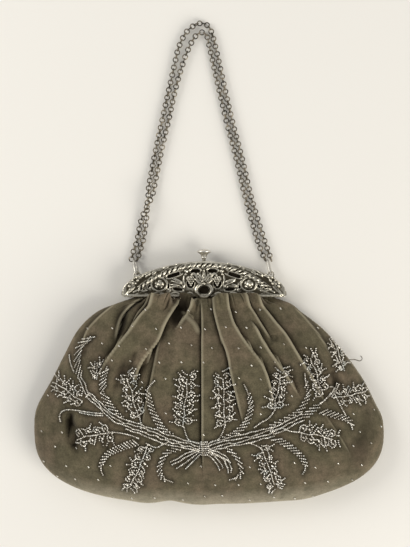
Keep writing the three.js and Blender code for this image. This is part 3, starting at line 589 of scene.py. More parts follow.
def ear(base, tip, half, seed):
    """Ear of flowers: a stem with drop-shaped rings on both sides, each with a large bead, barbs and rows."""
    rng = np.random.default_rng(seed)
    base, tip = np.array(base, float), np.array(tip, float)
    length = np.linalg.norm(tip - base)
    along = (tip - base) / length
    across = np.array([-along[1], along[0]])
    tiers = max(round(length / TIER_LENGTH), 2)

    def spot(t, out):
        """Place at a share of the ear's length and a distance to its side."""
        return base + along * t * length + across * out

    row(*(spot(t, rng.uniform(-STEM_WAVER, STEM_WAVER) * min(1, 4 * t)) for t in np.linspace(0, 0.9, 8)))
    for tier in range(tiers):
        for side in (-1, 1):
            t = (tier + 0.5 + 0.2 * side + rng.uniform(-TIER_JITTER, TIER_JITTER)) / tiers
            size = half * rng.uniform(*FLOWER_SIZES)
            heart = spot(t, side * half * rng.uniform(*FLOWER_PLACES))
            tilt = rng.uniform(*FLOWER_TILTS)
            out = side * across * math.cos(tilt) + along * math.sin(tilt)
            up = along * math.cos(tilt) - side * across * math.sin(tilt)
            ring = [heart + size * (RING_LONG * out * math.cos(a) + RING_WIDE * up * math.sin(a))
                    for a in RING_TURNS]
            lay_row([spot(t - 0.4 / tiers, side * OFF_STEM)] + ring, bead_rows)
            hearts.append(heart)
            for bend in BARB_BENDS:
                away = out * math.cos(bend) + up * math.sin(bend)
                start = heart + size * BARB_START * away
                end = start + away * rng.uniform(*BARB_LENGTHS)
                lay_row([start, (start + end) / 2 + up * rng.uniform(-BARB_BOW, BARB_BOW), end], bead_rows)
            for rise in SIDE_ROW_RISES:
                end = spot(t + (rise + 0.4) / tiers, side * half * rng.uniform(*SIDE_ROW_ENDS))
                bent = spot(t + (rise + 0.12) / tiers, side * half * 0.35)
                lay_row([spot(t + rise / tiers, side * OFF_STEM), bent, end], bead_rows)
    for out in TUFT_SIDES:
        end = spot(1.05, out * half * rng.uniform(*TUFT_ENDS))
        lay_row([spot(0.92, out * half * 0.3), spot(1.0, out * half * 0.6), end], bead_rows)


# Knot in the middle and the branches that spread from it.
KNOT_X, KNOT_LEFT_Y, KNOT_RIGHT_Y = 204, 447, 446.6
KNOT_ROW, KNOT_HALF, KNOT_ROUND = 2.15, 4.6, 3.9
for down in np.arange(-3, 4):
    half = KNOT_HALF * math.sqrt(1 - (down / KNOT_ROUND) ** 2)
    row((KNOT_X - half, KNOT_LEFT_Y + KNOT_ROW * down), (KNOT_X + half, KNOT_RIGHT_Y + KNOT_ROW * down))
side_by_side([(199, 446), (186, 443), (170, 439), (155, 433), (141, 428), (128, 424)],
             (-4.6, -1.5, 1.6, 4.7), 0.85)
side_by_side([(130, 424), (113, 416), (100, 405), (88, 395)], (-2.6, 0.4, 3.2))
side_by_side([(209, 446), (226, 441), (243, 438), (258, 434), (272, 430)], (-4.7, -1.6, 1.5, 4.6), 0.85)
side_by_side([(272, 430), (282, 426), (292, 420), (302, 416)], (-3, 0, 3))
row((319, 404), (326, 398.5), (331, 394), (335, 389))
side_by_side([(198, 449), (188, 453), (180, 457.5), (172, 462)], (-1.6, 1.6), 0.6)
row((199, 451), (191, 457), (185, 461.5), (177, 466.5))
row((200, 453), (193, 460), (186, 467))
side_by_side([(210, 449), (219, 453), (226.5, 459), (229.5, 471)], (-1.6, 1.6), 0.6)
side_by_side([(208, 452), (215, 457), (221.5, 467)], (-1.6, 1.6), 0.6)
row((209.5, 450), (221, 455), (230, 461))
row((198, 442), (188.5, 438), (184, 426))
row((218, 438.5), (222, 432), (225, 424))
row((147, 442), (156, 446), (163, 443), (168, 441))
row((113, 431), (122, 432), (131, 434), (139, 437))
row((248, 441), (258, 445), (262, 449))
row((299, 431), (290, 430), (281, 427), (270, 430))
row((140, 416), (141, 421), (141.5, 427))
row((271, 394), (275, 402), (275, 408), (268, 417), (261, 421), (254, 426))
row((103, 413), (90, 412), (71, 410), (62, 412), (59, 417), (60, 422))
row((103, 415), (92, 414.5), (80, 412.5))
side_by_side([(88, 396), (84, 386), (80, 378)], (-1.5, 1.5))
side_by_side([(331, 396), (336, 391), (339, 385)], (-1.2, 1.2))
row((67, 357), (69, 365), (73, 373))
row((335, 395), (340, 405), (346, 416))

# Plumes.
plume([(179, 438), (166, 431), (157, 418), (151.4, 405.5), (148.4, 392), (150, 385.5), (155, 380)],
      (-40, -48), (11, 5))
plume([(228, 436), (237, 430.5), (246, 420), (250, 407.7), (250, 401), (246.6, 390), (243.6, 383.6)],
      (37, 44), (11, 5))
plume([(129, 423), (117, 413.6), (107.6, 401), (104, 391)], (-38, -44), (11, 9), 0.97)
plume([(103.6, 389), (103, 383), (104, 376), (107.3, 366.4)], (46, 38), (9.5, 6))
plume([(270, 426), (283.2, 419.5), (296.8, 411.4), (303, 404), (308, 393), (305.5, 383), (304.5, 373)],
      (30, 46), (11, 5))
plume([(83, 389), (78, 371.5), (76.4, 362), (77.4, 352), (81, 345), (89, 337.5)], (28, 30), (14, 13), 0.97)
plume([(136, 441), (121.4, 446.4), (108.6, 452.7), (102.6, 462), (101.8, 469), (103.6, 474)],
      (60, 44), (7.5, 4))
plume([(276, 438), (288.6, 445), (300.5, 455.5), (305, 466.4), (302.3, 473)], (-36, -64), (10, 4))
plume([(181, 446), (167, 451.8), (161, 462.7), (160, 469), (163, 476), (173, 481)], (32, 56), (9, 4.5))
plume([(227, 447), (236, 455.5), (240.5, 465.5), (240, 474), (229.5, 478.6)], (-26, -48), (9, 4.5))
plume([(323, 411), (337, 416), (349, 421), (353, 430)], (-42, -40), (9, 6))
plume([(299, 419), (307, 413), (314, 407.5), (321, 402)], (34, 34), (11, 9), 0.97)

# Ears of flowers.
ear((183, 425), (188, 374), 10, 21)
ear((225, 423), (222, 374), 10, 22)
ear((139, 416), (127, 374), 9, 23)
ear((113, 431), (78, 438), 10, 24)
ear((148, 444), (130, 489), 9, 25)
ear((274, 408), (281, 371), 9, 26)
ear((323, 394), (310, 355), 9, 27)
ear((299, 431), (336, 439), 10, 28)
ear((261, 446), (275, 487), 9, 29)
ear((82, 401), (52, 384), 9, 30)
ear((334, 398), (370, 395), 9, 31)
ear((346, 372), (336, 341), 5.5, 32)
ear((97, 379), (97, 362), 5.5, 33)


def inputs_of(tree, **kinds):
    """Named inputs of a tree, and the node that gives their values."""
    for name, kind in kinds.items():
        tree.interface.new_socket(name, in_out="INPUT", socket_type=f"NodeSocket{kind}")
    return add(tree, "NodeGroupInput").outputs


def circle(tree, sides, radius):
    """Round or many-sided curve."""
    return add(tree, "GeometryNodeCurvePrimitiveCircle", {"Resolution": sides, "Radius": radius}).outputs[0]


def swept(tree, path, section):
    """Mesh of a section that is drawn along a path."""
    return add(tree, "GeometryNodeCurveToMesh", {"Curve": path, "Profile Curve": section}).outputs[0]


def spaced_along(tree, edges, pitch):
    """Points an equal pitch apart along a mesh's edges."""
    path = add(tree, "GeometryNodeMeshToCurve", {"Mesh": edges}).outputs[0]
    return add(tree, "GeometryNodeResampleCurve", {"Curve": path, "Length": pitch}, mode="LENGTH").outputs[0]


def random_value(tree, low, high, seed):
    """Number between two limits that differs from point to point."""
    return add(tree, "FunctionNodeRandomValue", {2: low, 3: high, "Seed": seed}).outputs[1]


def aligned(tree, sockets, **settings):
    """Rotation that turns an axis towards a vector."""
    return add(tree, "FunctionNodeAlignRotationToVector", sockets, **settings).outputs[0]


def made_real(tree, instances, material):
    """Plain mesh of instances, in one material."""
    real = add(tree, "GeometryNodeRealizeInstances", {"Geometry": instances}).outputs[0]
    return add(tree, "GeometryNodeSetMaterial", {"Geometry": real, "Material": material}).outputs[0]


def grow(piece, tree, **sizes):
    """Runs a tree on a piece with these inputs and keeps the plain mesh that it makes."""
    grower = piece.modifiers.new("grow", "NODES")
    grower.node_group = tree
    for item in tree.interface.items_tree:
        if item.in_out == "INPUT" and item.name in sizes:
            grower[item.identifier] = sizes[item.name]
    return baked(piece)


# A bead has six facets round its hole, which lies along the row that it is threaded on.
BEAD_FACETS, BEAD_WALL_SIDES = 6, 4
BEAD_WAIST, BEAD_WALL, BEAD_STRETCH = 0.6, 0.4, (1, 1, 2)
BEAD_SIZES = (0.9, 1.08)
bead_tree = bpy.data.node_groups.new("beads_on_rows", "GeometryNodeTree")
given = inputs_of(bead_tree, Rows="Geometry", Radius="Float", Pitch="Float", Steel="Material")
bead_tree.interface.new_socket("Beads", in_out="OUTPUT", socket_type="NodeSocketGeometry")
waist = calc(bead_tree, "MULTIPLY", given["Radius"], BEAD_WAIST)
wall = calc(bead_tree, "MULTIPLY", given["Radius"], BEAD_WALL)
ring = swept(bead_tree, circle(bead_tree, BEAD_FACETS, waist), circle(bead_tree, BEAD_WALL_SIDES, wall))
bead = add(bead_tree, "GeometryNodeTransform", {"Geometry": ring, "Scale": BEAD_STRETCH}).outputs[0]
stand = add(bead_tree, "GeometryNodeInputNamedAttribute", {"Name": "stand"}, data_type="FLOAT_VECTOR")
along = add(bead_tree, "GeometryNodeInputTangent").outputs[0]
threaded = aligned(bead_tree, {"Vector": along}, axis="Z")
turned = aligned(bead_tree, {"Rotation": threaded, "Vector": stand.outputs[0]}, axis="X", pivot_axis="Z")
sewn = add(bead_tree, "GeometryNodeInstanceOnPoints", {
    "Points": spaced_along(bead_tree, given["Rows"], given["Pitch"]), "Instance": bead, "Rotation": turned,
    "Scale": random_value(bead_tree, *BEAD_SIZES, 5)})
marked = add(bead_tree, "GeometryNodeStoreNamedAttribute", {
    "Geometry": sewn.outputs[0], "Name": "dull", "Value": random_value(bead_tree, 0.0, 1.0, 6)},
    data_type="FLOAT", domain="INSTANCE")
add(bead_tree, "NodeGroupOutput", {"Beads": made_real(bead_tree, marked.outputs[0], given["Steel"])})

BRIGHT_STEEL, DULL_STEEL, BLUED_STEEL = (0.98, 0.94, 0.84, 1), (0.4, 0.36, 0.29, 1), (0.3, 0.36, 0.36, 1)
cut_steel, tree, shader = new_material("cut_steel")
dull = attribute(tree, "dull")
tone = blend_colors(tree, spread(tree, dull, 0.15, 0.95), BRIGHT_STEEL, DULL_STEEL)
blued = spread(tree, noise(tree, object_place(tree), 90, 2), 0.55, 0.75, 0, 0.5)
tone = blend_colors(tree, blued, tone, BLUED_STEEL)
polish = spread(tree, dull, 0, 1, 0.18, 0.42)
connect(tree, shader, {"Base Color": tone, "Roughness": polish, "Metallic": 0.55})


def sew(name, threads, radius=BEAD_RADIUS, pitch=BEAD_PITCH, steel=cut_steel):
    """Beads along threads, each given as its points and the way that its beads face, as one piece."""
    points, stands, edges = [], [], []
    for places, facing in threads:
        edges += [(len(points) + i, len(points) + i + 1) for i in range(len(places) - 1)]
        points += places
        stands += facing
    piece = new_piece(name, points, [], edges)
    store(piece.data, "stand", "FLOAT_VECTOR", stands)
    grow(piece, bead_tree, Radius=radius, Pitch=pitch, Steel=steel)
    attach(piece, "bag")


# The rows are sewn as three pieces, by the square across that the middle of a row falls in.
for name, first, after in (("beads_left", 0, 145), ("beads_centre", 145, 255), ("beads_right", 255, 410)):
    sew(name, [on_velvet(path) for path in bead_rows if first <= np.mean(path, axis=0)[0] < after])

# One thread has come loose at the right edge, with blackened beads still on it.
LOOSE_THREAD = np.array([
    (118.6, 33.6, 18), (122.5, 34.4, 17), (127, 34, 14), (131, 32.8, 11), (133.2, 34.4, 10), (132, 36.8, 11)])
LOOSE_RADIUS, LOOSE_PITCH = 0.5 * MM, 0.9 * MM
BLACKENED, WORN_BRIGHT = (0.03, 0.025, 0.018, 1), (0.34, 0.3, 0.24, 1)
black_steel, tree, shader = new_material("black_steel")
tone = blend_colors(tree, noise(tree, object_place(tree), 700, 2), BLACKENED, WORN_BRIGHT)
connect(tree, shader, {"Base Color": tone, "Roughness": 0.4, "Metallic": 0.5})
thread = [Vector(point) for point in spline(LOOSE_THREAD, np.linspace(0, len(LOOSE_THREAD) - 1, 30)) * MM]
sew("loose_beads", [(thread, [Vector((0, 0, 1))] * len(thread))], LOOSE_RADIUS, LOOSE_PITCH, black_steel)

# The velvet is darkened around the rows sewn on its front: partly pressed and soiled pile, partly painted
# shade of the beads.
SHADED_WIDTH, FRONT_ABOVE = 2.7, 10
sewn_at = np.concatenate(bead_rows)
nearest_row = KDTree(len(sewn_at))
for i, (across, down) in enumerate(sewn_at):
    nearest_row.insert((across, down, 0), i)
nearest_row.balance()
velvet_points = np.array([vertex.co for vertex in pouch.data.vertices]) / MM
gaps = np.array([nearest_row.find((*square, 0))[2] for square in to_squares(velvet_points[:, :2])])
store(pouch.data, "sewn", "FLOAT", bell(gaps, 0, SHADED_WIDTH) * (velvet_points[:, 2] > FRONT_ABOVE))

# Single beads are scattered between the rows, more thinly near the frame. All sizes are in squares.
SINGLES_FROM, SINGLES_TO, SINGLES_APART = (30, 312), (390, 500), (23, 17)
SINGLE_JITTER, SINGLE_CLEAR = 3.2, 5
THIN_ABOVE, THIN_SHARE = 345, 0.7
SINGLE_STITCH, SINGLE_PITCH = np.array([0.35, 0.35]), 3 * MM
rng = np.random.default_rng(8)
singles = []
for line, down in enumerate(np.arange(SINGLES_FROM[1], SINGLES_TO[1], SINGLES_APART[1])):
    shift = SINGLES_APART[0] / 2 * (line % 2)
    for across in np.arange(SINGLES_FROM[0], SINGLES_TO[0], SINGLES_APART[0]) + shift:
        spot = np.array([across, down]) + rng.uniform(-SINGLE_JITTER, SINGLE_JITTER, 2)
        clear = np.min(np.linalg.norm(sewn_at - spot, axis=1)) > SINGLE_CLEAR
        if clear and (down > THIN_ABOVE or rng.uniform() < THIN_SHARE):
            singles.append(spot)


def sew_singles(name, spots, radius):
    """Single beads, each on a short stitch of its own."""
    stitches = [on_velvet([spot - SINGLE_STITCH, spot + SINGLE_STITCH]) for spot in spots]
    sew(name, stitches, radius, SINGLE_PITCH)


sew_singles("scattered_beads", singles, SINGLE_RADIUS)
sew_singles("flower_hearts", hearts, HEART_RADIUS)


# Frame, front half: a silver arch, cast and pierced with a rope border, a palmette over an open oval, roses
# in rings, leaves and grapes. It is hinged to the back half at both ends of its rail.

PLATE_TOP = 16.4
ROPE_RADIUS, ROPE_TOP = 84.5, 113
WIRE_STEP, WIRE_TAPER, WIRE_TIP = 0.6, 0.25, 0.7
LEAF_SPLIT, LEAF_LOBE, LEAF_OPENING = 0.5, 0.62, 6
OVAL_POINTS, SCROLL_POINTS, SCROLL_IN = 40, 18, 0.82
BALL_WIDE, BALL_HIGH = 1.3, 1.6
# The sections of a wire are turned by a way that is nearly up, because no wire runs along it.
NEARLY_UP = (0.02, 0.01, 1)
cast_points, cast_faces = [], []


def cast(points, faces):
    """Adds a closed shape, in millimetres, to the casting."""
    start = sum(len(shape) for shape in cast_points)
    cast_faces.extend([[start + i for i in face] for face in faces])
    cast_points.append(np.asarray(points, float))


def around(count):
    """Angles of a full turn in equal steps."""
    return 2 * np.pi * np.arange(count) / count


def ring_faces(rings, sides, closed=False):
    """Faces between rings of points that follow one another."""
    faces = []
    for r in range(rings if closed else rings - 1):
        here, there = r * sides, (r + 1) % rings * sides
        for k in range(sides):
            after = (k + 1) % sides
            faces.append((here + k, there + k, there + after, here + after))
    return faces


def end_faces(rings, sides):
    """Faces from the first and the last ring to the two end points that follow all rings."""
    first, last, start = rings * sides, rings * sides + 1, (rings - 1) * sides
    faces = [(first, k, (k + 1) % sides) for k in range(sides)]
    return faces + [(last, start + (k + 1) % sides, start + k) for k in range(sides)]


def tube(path, radius, sides=8, closed=False):
    """Points and faces of a round wire along a path. Its radius may change along it."""
    path = np.asarray(path, float)
    count = len(path)
    along = np.roll(path, -1, 0) - np.roll(path, 1, 0) if closed else np.gradient(path, axis=0)
    along /= np.linalg.norm(along, axis=1, keepdims=True)
    across = np.cross(along, NEARLY_UP)
    across /= np.linalg.norm(across, axis=1, keepdims=True)
    over = np.cross(across, along)
    radius = np.broadcast_to(radius, count)
    angle = around(sides)
    ring = np.cos(angle)[:, None] * across[:, None] + np.sin(angle)[:, None] * over[:, None]
    points = (path[:, None] + radius[:, None, None] * ring).reshape(-1, 3)
    faces = ring_faces(count, sides, closed)
    if not closed:
        tips = [path[0] - along[0] * radius[0] * WIRE_TIP, path[-1] + along[-1] * radius[-1] * WIRE_TIP]
        points = np.concatenate([points, tips])
        faces += end_faces(count, sides)
    # The faces are turned over, so that they look outwards.
    return points, [face[:1] + face[:0:-1] for face in faces]


def wire(points, radius, lift=0.0):
    """Wire on the plate, smooth through points given as x and y, and a little thinner at its ends."""
    points = np.asarray(points, float)
    length = np.linalg.norm(np.diff(points, axis=0), axis=1).sum()
    path = spline(points, np.linspace(0, len(points) - 1, max(int(length / WIRE_STEP), 4)))
    thin = radius * (1 - WIRE_TAPER * np.linspace(-1, 1, len(path)) ** 4)
    cast(*tube(np.column_stack([path, np.full(len(path), PLATE_TOP + lift)]), thin))


def turn_in_plane(turn):
    """Cosine and sine of an angle in degrees."""
    return math.cos(math.radians(turn)), math.sin(math.radians(turn))


def lobe(x, y, long, wide, rise, turn, lift=0.0, sides=12, rings=6):
    """Egg-shaped swelling on the plate, turned in its plane."""
    polar = np.pi * np.arange(1, rings) / rings
    angle = around(sides)
    ring = np.stack([np.outer(np.sin(polar), np.cos(angle)), np.outer(np.sin(polar), np.sin(angle)),
                     np.outer(np.cos(polar), np.ones(sides))], axis=-1).reshape(-1, 3)
    points = np.concatenate([ring, [(0, 0, 1), (0, 0, -1)]]) * (long, wide, rise)
    c, s = turn_in_plane(turn)
    points = points @ np.array([(c, s, 0), (-s, c, 0), (0, 0, 1)]) + (x, y, PLATE_TOP + lift)
    cast(points, ring_faces(rings - 1, sides) + end_faces(rings - 1, sides))


def leaf(x, y, long, wide, rise, turn, lift=0.0):
    """Leaf with a groove along its middle."""
    c, s = turn_in_plane(turn)
    for side in (-1, 1):
        out = side * wide * LEAF_SPLIT
        lobe(x - s * out, y + c * out, long, wide * LEAF_LOBE, rise, turn - side * LEAF_OPENING, lift)


def oval(x, y, across, up, radius, lift=0.0):
    """Closed oval wire."""
    turn = np.linspace(0, 2 * np.pi, OVAL_POINTS, endpoint=False)
    height = np.full(OVAL_POINTS, PLATE_TOP + lift)
    path = np.column_stack([x + across * np.cos(turn), y + up * np.sin(turn), height])
    cast(*tube(path, radius, closed=True))


def volute(x, y, size, turns, start, hand, radius):
    """Scroll that winds in to a small ball."""
    share = np.linspace(0, 1, int(SCROLL_POINTS * turns))
    angle = math.radians(start) + hand * 2 * np.pi * turns * share
    reach = size * (1 - SCROLL_IN * share)
    wire(np.column_stack([x + reach * np.cos(angle), y + reach * np.sin(angle)]), radius)
    lobe(x, y, radius * BALL_WIDE, radius * BALL_WIDE, radius * BALL_HIGH, 0)


def rope_at(angle, out=0.0):
    """Point over the rope's arc at an angle from the crown, in degrees, and a distance outside it."""
    a = math.radians(angle)
    reach = ROPE_RADIUS + out
    return reach * math.sin(a), ROPE_TOP - ROPE_RADIUS + reach * math.cos(a)


# Rope border: slanted strands between two thin wires.
ROPE_END, STRANDS, STRAND_SLANT = 39.7, 29, 36
for i in range(STRANDS):
    angle = ROPE_END * (2 * i / (STRANDS - 1) - 1)
    lobe(*rope_at(angle), 3.1, 0.98, 2.1, -angle + STRAND_SLANT)
for out, radius in ((-2.1, 0.45), (2.1, 0.5)):
    wire([rope_at(a, out) for a in np.linspace(-ROPE_END, ROPE_END, 21)], radius, 0.2)

ROSE_X, ROSE_Y = 37.4, 97.2
GRAPE_X, GRAPE_Y, GRAPE_ACROSS, GRAPE_DOWN = 11, 103.4, 1.9, 1.75
LEAF_X, LEAF_Y, LEAF_SLOPE = 22, 99.6, 0.4


def side_wire(side, radius, lift, *points):
    """Wire on the right, or its mirror on the left."""
    wire([(side * x, y) for x, y in points], radius, lift)


for side in (-1, 1):
    # Leaves over the rope.
    for angle, out, long, turn in ((14, 3.4, 2.6, 8), (21, 3.9, 2.6, 8), (28, 4.4, 2.6, 10)):
        x, y = rope_at(angle, out)
        leaf(side * x, y, long, 1.0, 0.7, side * -(angle + turn))

    # Palmette scroll, window rims and knots beside it.
    side_wire(side, 1.2, 0.8, (3.2, 97.6), (5.4, 100), (6, 103.6), (8.6, 106.2), (10.6, 104.6))
    side_wire(side, 0.9, 0.5, (2.4, 109), (5, 111), (9.6, 110.8), (12.4, 108.4))
    lobe(side * 15, 108.4, 1.7, 1.5, 1.5, 0, 0.3)
    lobe(side * 15.4, 105.6, 1.1, 1.1, 1.2, 0, 0.3)
    side_wire(side, 0.55, 0.4, (18.6, 108.8), (24, 107.6), (30.6, 105.4), (32, 103.4))
    side_wire(side, 0.55, 0.4, (17.8, 106.2), (22, 104), (29, 101.9), (31.8, 102.6))

    # Long leaf with its veins, and the scroll at its root.
    leaf(side * LEAF_X, LEAF_Y, 5.2, 1.9, 1.7, side * 22, 0.2)
    leaf(side * 24, 96.4, 4.4, 1.5, 1.5, side * -10, 0.1)
    side_wire(side, 0.75, 0.4, (16.6, 104.4), (17, 100.4), (16.2, 96.8), (18.6, 94.6), (20.6, 96))
    for vein in (-2.4, -0.6, 1.2, 3):
        x, y = LEAF_X + vein, LEAF_Y + vein * LEAF_SLOPE
        side_wire(side, 0.35, 1.5, (x, y), (x + 1.4, y + 1.4))
    volute(side * 29.4, 92.6, 2, 1.3, 60 if side > 0 else 120, -side, 0.5)

    # Rose in its ring, with sprigs on both sides.
    oval(side * ROSE_X, ROSE_Y, 6.5, 5.6, 0.8, 0.3)
    for petal in range(5):
        turn = 72 * petal + 18
        a = math.radians(turn)
        lobe(side * ROSE_X + 2.4 * math.cos(a), ROSE_Y + 2.4 * math.sin(a), 1.7, 1.5, 1.6, turn, 0.2)
        lobe(side * ROSE_X + 1.2 * math.cos(a + 0.6), ROSE_Y + 1.2 * math.sin(a + 0.6), 1, 0.9, 1.2, 0, 1.2)
    lobe(side * ROSE_X, ROSE_Y, 0.8, 0.8, 0.9, 0, 2)
    side_wire(side, 0.5, 0.3, (44, 97.8), (46.6, 99.8), (48.6, 97.6), (46.8, 95.4))
    leaf(side * 31.4, 99.6, 2.2, 1, 1.3, side * 64)
    side_wire(side, 0.7, 0.4, (47.6, 92), (51, 91.6), (55, 92.4), (59, 90.6))

    # Bunch of grapes.
    for line, count in enumerate((3, 4, 3, 2, 1)):
        for k in range(count):
            x = GRAPE_X + (k - (count - 1) / 2) * GRAPE_ACROSS
            lobe(side * x, GRAPE_Y - line * GRAPE_DOWN, 1, 1, 1.2, 0, 0.3, 10, 5)

    # Wavy foot of the plate, with curled leaf tips on it.
    side_wire(side, 0.8, 0.2, (7.4, 88.6), (12, 90.2), (18, 88.4), (24, 90.4), (31, 88.6), (38, 90.6),
              (45, 88.8), (52, 90.2), (60, 88.2))
    for x, turn in ((21, -32), (27.6, 28), (34.6, -30), (41.6, 30), (48.4, -26)):
        leaf(side * x, 87.9, 2.3, 0.9, 1.1, side * turn)
    volute(side * 24.2, 87.2, 1.9, 1.2, -80, side, 0.5)

    # Reeded ends and leaf sprigs by the lugs.
    for k in range(4):
        x, y = 58.4 + 1.5 * k, 97.6 - 2.1 * k
        side_wire(side, 0.6, 0.2, (x - 2.6, y + 2.3), (x, y), (x + 2.8, y - 3))
    leaf(side * 47, 105.6, 3.4, 1.4, 1.6, side * -30)
    leaf(side * 52.4, 104, 3.2, 1.0, 1.8, side * -36, 0.4)
    for x, y, size in ((56.8, 103, 1.3), (55.4, 100.4, 1.5), (57, 97.9, 1.2), (62.4, 95.8, 1.5),
                       (59.6, 100.6, 1.1)):
        lobe(side * x, y, size, size * 0.85, 1.7, side * -40, 0.3)
    leaf(side * 61.6, 99, 2.2, 0.9, 1.4, side * -34)

# Palmette over the oval, and the oval with a ball at its head.
PALMETTE_Y, PALMETTE_LONG, PALMETTE_SPREAD = 98.2, 10.6, 33
OVAL_Y = 92.4
for k in (-2, -1, 0, 1, 2):
    lean = PALMETTE_SPREAD * k
    long = PALMETTE_LONG - 1.1 * abs(k)
    a = math.radians(lean)
    leaf(long / 2 * math.sin(a), PALMETTE_Y + long / 2 * math.cos(a), long / 2, 1.7, 1.9, 90 - lean, 0.3)
    lobe(long * math.sin(a), PALMETTE_Y + long * math.cos(a), 1.1, 1.1, 1.6, 0, 0.6)
oval(0, OVAL_Y, 6.5, 5.2, 1.5, 0.3)
oval(0, OVAL_Y, 7.9, 6.5, 0.45, 0.2)
lobe(0, 97.8, 1.5, 1.3, 1.6, 0, 1.4)


def copy_of(node):
    """Merged copy of a CAD node's points, in millimetres, and its faces."""
    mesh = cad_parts[node].data
    points = np.array([vertex.co for vertex in mesh.vertices]) / MM
    keys, first = np.unique(np.round(points, 4), axis=0, return_inverse=True)
    return keys, [[int(first.ravel()[i]) for i in face.vertices] for face in mesh.polygons]


def relief_of(mesh, rounds):
    """How far each point stands over its surroundings, in millimetres: below zero in a hollow."""
    points, facing = np.empty((2, len(mesh.vertices) * 3))
    mesh.vertices.foreach_get("co", points)
    mesh.vertex_normals.foreach_get("vector", facing)
    points, facing = points.reshape(-1, 3), facing.reshape(-1, 3)
    ends = np.empty(len(mesh.edges) * 2, int)
    mesh.edges.foreach_get("vertices", ends)
    one, other = ends.reshape(-1, 2).T
    near = np.bincount(np.concatenate([one, other]), minlength=len(points))[:, None]
    smooth = points
    for _ in range(rounds):
        total = np.zeros_like(points)
        np.add.at(total, one, smooth[other])
        np.add.at(total, other, smooth[one])
        smooth = total / near
    return ((points - smooth) * facing).sum(axis=1) / MM


def recast(name, points, faces, grain):
    """Fuses shapes into one casting with soft edges and half as many faces."""
    piece = new_piece(name, np.asarray(points) * MM, faces)
    fuse = piece.modifiers.new("fuse", "REMESH")
    fuse.mode, fuse.voxel_size, fuse.use_smooth_shade = "VOXEL", grain * MM, True
    soften = piece.modifiers.new("soften", "SMOOTH")
    soften.factor, soften.iterations = 0.5, 2
    thin = piece.modifiers.new("thin", "DECIMATE")
    thin.ratio = 0.5
    baked(piece)
    store(piece.data, "relief", "FLOAT", relief_of(piece.data, RELIEF_ROUNDS))
    return piece


FRONT_GRAIN, BACK_GRAIN, RELIEF_ROUNDS = 0.36, 0.45, 14
cast(*copy_of("frame_front"))
frame_front = recast("frame_front_cast", np.concatenate(cast_points), cast_faces, FRONT_GRAIN)

# Silver darkens where hands don't rub it: a brown film fills the hollows and clouds the rest.
tarnish = bpy.data.node_groups.new("tarnish", "ShaderNodeTree")
given = inputs_of(tarnish, Relief="Float", Metal="Color", Film="Color", Amount="Float")
for name, kind in (("Color", "Color"), ("Roughness", "Float"), ("Height", "Float")):
    tarnish.interface.new_socket(name, in_out="OUTPUT", socket_type=f"NodeSocket{kind}")
place = object_place(tarnish)
hollow = spread(tarnish, given["Relief"], 0.3, -0.22)
cloudy = spread(tarnish, noise(tarnish, place, 240, 5, 0.65), 0.35, 0.72, -0.25, 0.35)
film = calc(tarnish, "MULTIPLY", calc(tarnish, "ADD", hollow, cloudy), given["Amount"], clamp=True)
add(tarnish, "NodeGroupOutput", {
    "Color": blend_colors(tarnish, film, given["Metal"], given["Film"]),
    "Roughness": spread(tarnish, film, 0, 1, 0.24, 0.6),
    "Height": calc(tarnish, "MULTIPLY", noise(tarnish, place, 1600, 2), film)})


def tarnished(name, metal, film, amount):
    """Metal under a dark film."""
    material, tree, shader = new_material(name)
    aged = add(tree, "ShaderNodeGroup", node_tree=tarnish)
    connect(tree, aged, {"Relief": attribute(tree, "relief"), "Metal": metal, "Film": film, "Amount": amount})
    pitted = add(tree, "ShaderNodeBump", {
        "Height": aged.outputs["Height"], "Strength": 0.35, "Distance": 0.0002})
    connect(tree, shader, {
        "Base Color": aged.outputs["Color"], "Roughness": aged.outputs["Roughness"],
        "Normal": pitted.outputs[0], "Metallic": 0.9})
    return material


silver = tarnished("old_silver", (0.66, 0.62, 0.51, 1), (0.055, 0.047, 0.03, 1), 1.35)
frame_front.data.materials.append(silver)
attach(frame_front, "bag")
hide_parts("frame_front")


# Frame, back half and hinge pins: a plain arch of the same silver with a round border, lugs for the handle
# on its shoulders, and a headed pin through the ears at each end.

frame_back = recast("frame_back_cast", *copy_of("frame_back"), BACK_GRAIN)
frame_back.data.materials.append(silver)
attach(frame_back, "bag")
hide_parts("frame_back")
for pin in ("hinge_pin_left", "hinge_pin_right"):
    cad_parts[pin].material_slots[0].material = silver


# Clasp: a turned silver knob, flared like a trumpet under a low dome, on a stem that slides in the crown of
# the frame and presses the catch open.

SEAM_Z = 9.6
KNOB_SIDES, KNOB_RELIEF_ROUNDS = 40, 3
# Radius and height of the turned profile, from its foot inside the crown to the top of the dome.
KNOB_PROFILE = [
    (0, 106.2), (2.3, 106.2), (2.4, 106.4), (2.4, 107.5), (2.3, 107.6), (1.4, 107.7), (1.4, 118.5),
    (1.8, 119), (2.2, 119.5), (2.2, 120), (2.1, 120.4), (2.3, 121), (2.9, 122), (3.8, 123), (5, 123.8),
    (5.8, 124.2), (6, 124.5), (6, 125), (5.6, 125.3), (4.8, 125.5), (4.4, 125.8), (3.2, 126.3), (1.6, 126.6),
    (0, 126.7)]

knob_rings = [(out * math.cos(a), y, SEAM_Z + out * math.sin(a))
              for out, y in KNOB_PROFILE[1:-1] for a in around(KNOB_SIDES)]
knob_ends = [(0, y, SEAM_Z) for _, y in (KNOB_PROFILE[0], KNOB_PROFILE[-1])]
ring_count = len(KNOB_PROFILE) - 2
knob = new_piece("clasp_knob", np.array(knob_rings + knob_ends) * MM,
                 ring_faces(ring_count, KNOB_SIDES) + end_faces(ring_count, KNOB_SIDES), smooth=True)
store(knob.data, "relief", "FLOAT", relief_of(knob.data, KNOB_RELIEF_ROUNDS))
rubbed_silver = tarnished("rubbed_silver", (0.72, 0.69, 0.62, 1), (0.12, 0.105, 0.075, 1), 0.6)
knob.data.materials.append(rubbed_silver)
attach(knob, "clasp")
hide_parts("clasp_button")


